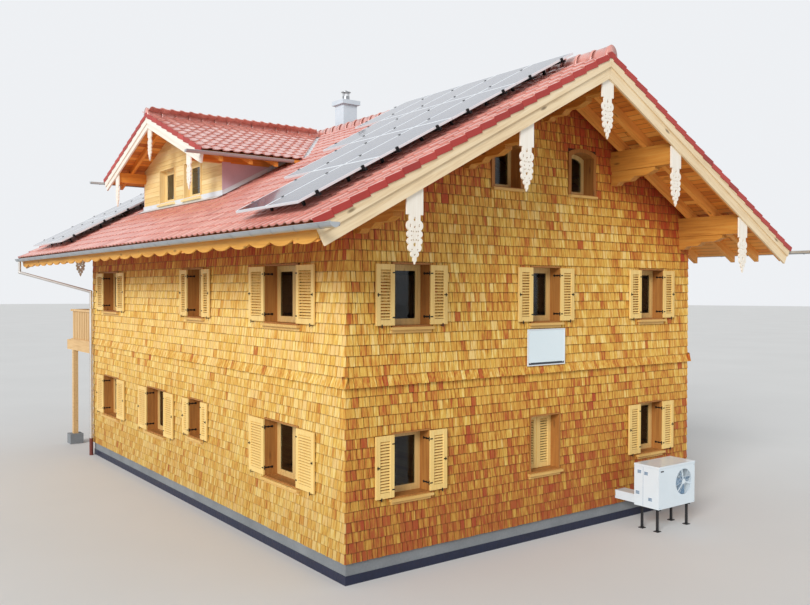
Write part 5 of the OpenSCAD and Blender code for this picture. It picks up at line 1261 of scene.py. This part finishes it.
# blank wall board: a raised rim, four screws and a dark strip along its foot
board = {"half": 0.5, "foot": 3.300, "top": 3.990, "rim": 0.022, "face": -6.728, "back": -6.718,
         "screwX": (-0.44, 0.44), "screwZ": (3.36, 3.93), "screw": 0.012,
         "strip": ((-0.478, -6.7225, 3.323), (0.478, -6.716, 3.362))}
half, foot, top, rim = board["half"], board["foot"], board["top"], board["rim"]
bm = bmesh.new()
for x0, x1, z0, z1 in ((-half, half, foot, foot + rim), (-half, half, top - rim, top),
                       (-half, -half + rim, foot + rim, top - rim), (half - rim, half, foot + rim, top - rim)):
    roundBox(bm, (x0, board["face"], z0), (x1, board["back"], z1), 0.003, 2)
for x in board["screwX"]:
    for z in board["screwZ"]:
        roundRod(bm, (x, board["face"] + 0.003, z), (x, board["back"], z), board["screw"], 0.002)
finishPiece(bm, "board_rim_and_screws", "moduleFrame")
bm = bmesh.new()
roundBox(bm, *board["strip"], 0.001)
finishPiece(bm, "board_foot_strip", "darkPlastic")

# both back doors: raised frame and panels, a lever handle and hinges
door = {
    "half": 0.443, "face": 6.577, "feet": (0.412, 3.172), "height": 1.990, "stile": 0.115, "raise": 0.014,
    "rails": ((0.0, 0.21), (0.86, 0.12), (1.875, 0.115)), "panels": ((0.21, 0.86), (0.98, 1.875)), "panelEdge": 0.035,
    "panelRaise": 0.009, "plate": (0.362, 0.402, 0.93, 1.15), "leverX": (0.382, 0.394, 0.262), "leverZ": 1.09,
    "keyZ": 0.985, "hinges": (0.25, 1.0, 1.75), "hinge": (0.004, 0.05, 0.010), "sunk": 0.004,
    "frameRound": 0.005, "panelRound": 0.007, "leverRod": 0.010, "leverOff": 0.050,
}
wooden, metal = bmesh.new(), bmesh.new()
half, face, stile, margin = door["half"], door["face"], door["stile"], door["panelEdge"]
top = face + door["raise"]
for foot in door["feet"]:
    parts = [(-half, -half + stile, 0.0, door["height"]), (half - stile, half, 0.0, door["height"])]
    parts += [(-half + stile, half - stile, z, z + high) for z, high in door["rails"]]
    for x0, x1, z0, z1 in parts:
        roundBox(wooden, (x0, face - door["sunk"], foot + z0), (x1, top, foot + z1), door["frameRound"], 2)
    edge = half - stile - margin
    for z0, z1 in door["panels"]:
        roundBox(wooden, (-edge, face - door["sunk"], foot + z0 + margin),
                 (edge, face + door["panelRaise"], foot + z1 - margin), door["panelRound"], 2)
    x0, x1, z0, z1 = door["plate"]
    roundBox(metal, (x0, top - 0.001, foot + z0), (x1, top + 0.006, foot + z1), 0.003, 2)
    x, start, end = door["leverX"]
    z = foot + door["leverZ"]
    radius, out = door["leverRod"], top + door["leverOff"]
    addRod(metal, (x, top, z), (x, out, z), radius, 14)
    roundRod(metal, (start, out - 0.004, z), (end, out - 0.004, z), radius, 0.003, 14, 2)
    z = foot + door["keyZ"]
    addRod(metal, (x, top + 0.004, z), (x, top + 0.009, z), 0.012, 14)
    past, high, radius = door["hinge"]
    for z in door["hinges"]:
        middle = Vector((-half + past, top + past, foot + z))
        addRod(metal, middle - Vector((0, 0, high)), middle + Vector((0, 0, high)), radius, 12)
finishPiece(wooden, "door_frames_and_panels", "doors")
finishPiece(metal, "door_handles_and_hinges", "blackMetal")
print("fittings on gutters, heat pump, board and doors are in place")

# the photograph's viewpoint
view = {"place": (-11.649, -17.880, 4.728), "yaw": 36.633, "tilt": -0.891, "roll": 0.154,
        "lens": 37.31, "sensor": 36.0, "reach": 1000.0}
yaw, tilt, roll = (math.radians(view[key]) for key in ("yaw", "tilt", "roll"))
forward = Vector((math.sin(yaw) * math.cos(tilt), math.cos(yaw) * math.cos(tilt), math.sin(tilt)))
right = Vector((math.cos(yaw), -math.sin(yaw), 0))
upward = right.cross(forward)
rightRolled = right * math.cos(roll) + upward * math.sin(roll)
upRolled = upward * math.cos(roll) - right * math.sin(roll)
camera = bpy.data.objects.new("photoCamera", bpy.data.cameras.new("photoCamera"))
camera.data.lens, camera.data.sensor_width, camera.data.clip_end = view["lens"], view["sensor"], view["reach"]
camera.data.sensor_fit = "HORIZONTAL"
turn = Matrix((rightRolled, upRolled, -forward)).transposed().to_4x4()
camera.matrix_world = Matrix.Translation(view["place"]) @ turn
scene.collection.objects.link(camera)
scene.camera = camera

# a pale floor, an even pale world and one soft sun
light = {"worldStrength": 0.60, "worldColour": (0.95, 0.97, 1.0, 1.0), "background": 0.90,
         "sunStrength": 2.5, "sunAngle": 24.0, "sunWay": (0.80, 0.45, -0.40), "floorRadius": 260.0}

bm = bmesh.new()
bmesh.ops.create_circle(bm, cap_ends=True, segments=64, radius=light["floorRadius"])
studioFloor = bpy.data.objects.new("studioFloor", meshOf(bm, "studioFloor"))
scene.collection.objects.link(studioFloor)
floorFinish, tree, shader, place = newFinish("floorPaint", 0.9)
blotches = spotsOn(tree, place, 0.2, 4.0)["Blotch"]
feed(tree, shader, {"Base Color": ramp(tree, blotches, ((212, 212, 210), (222, 222, 220)))})
studioFloor.data.materials.append(floorFinish)

world = bpy.data.worlds.new("studio")
world.use_nodes = True
scene.world = world
tree = world.node_tree
path = addNode(tree, "LightPath")
seen = sums(tree, "MAXIMUM", path["Is Camera Ray"], path["Is Glossy Ray"])
seen = sums(tree, "MAXIMUM", seen, path["Is Transmission Ray"])
strength = fade(tree, seen, 0.0, 1.0, light["worldStrength"], light["background"])
feed(tree, tree.nodes["Background"], {"Color": light["worldColour"], "Strength": strength})

lamp = bpy.data.lights.new("keyLamp", "SUN")
lamp.energy, lamp.angle = light["sunStrength"], math.radians(light["sunAngle"])
sun = bpy.data.objects.new("keyLamp", lamp)
sun.rotation_euler = Vector(light["sunWay"]).to_track_quat("-Z", "Y").to_euler()
scene.collection.objects.link(sun)
scene.view_settings.view_transform = "Standard"
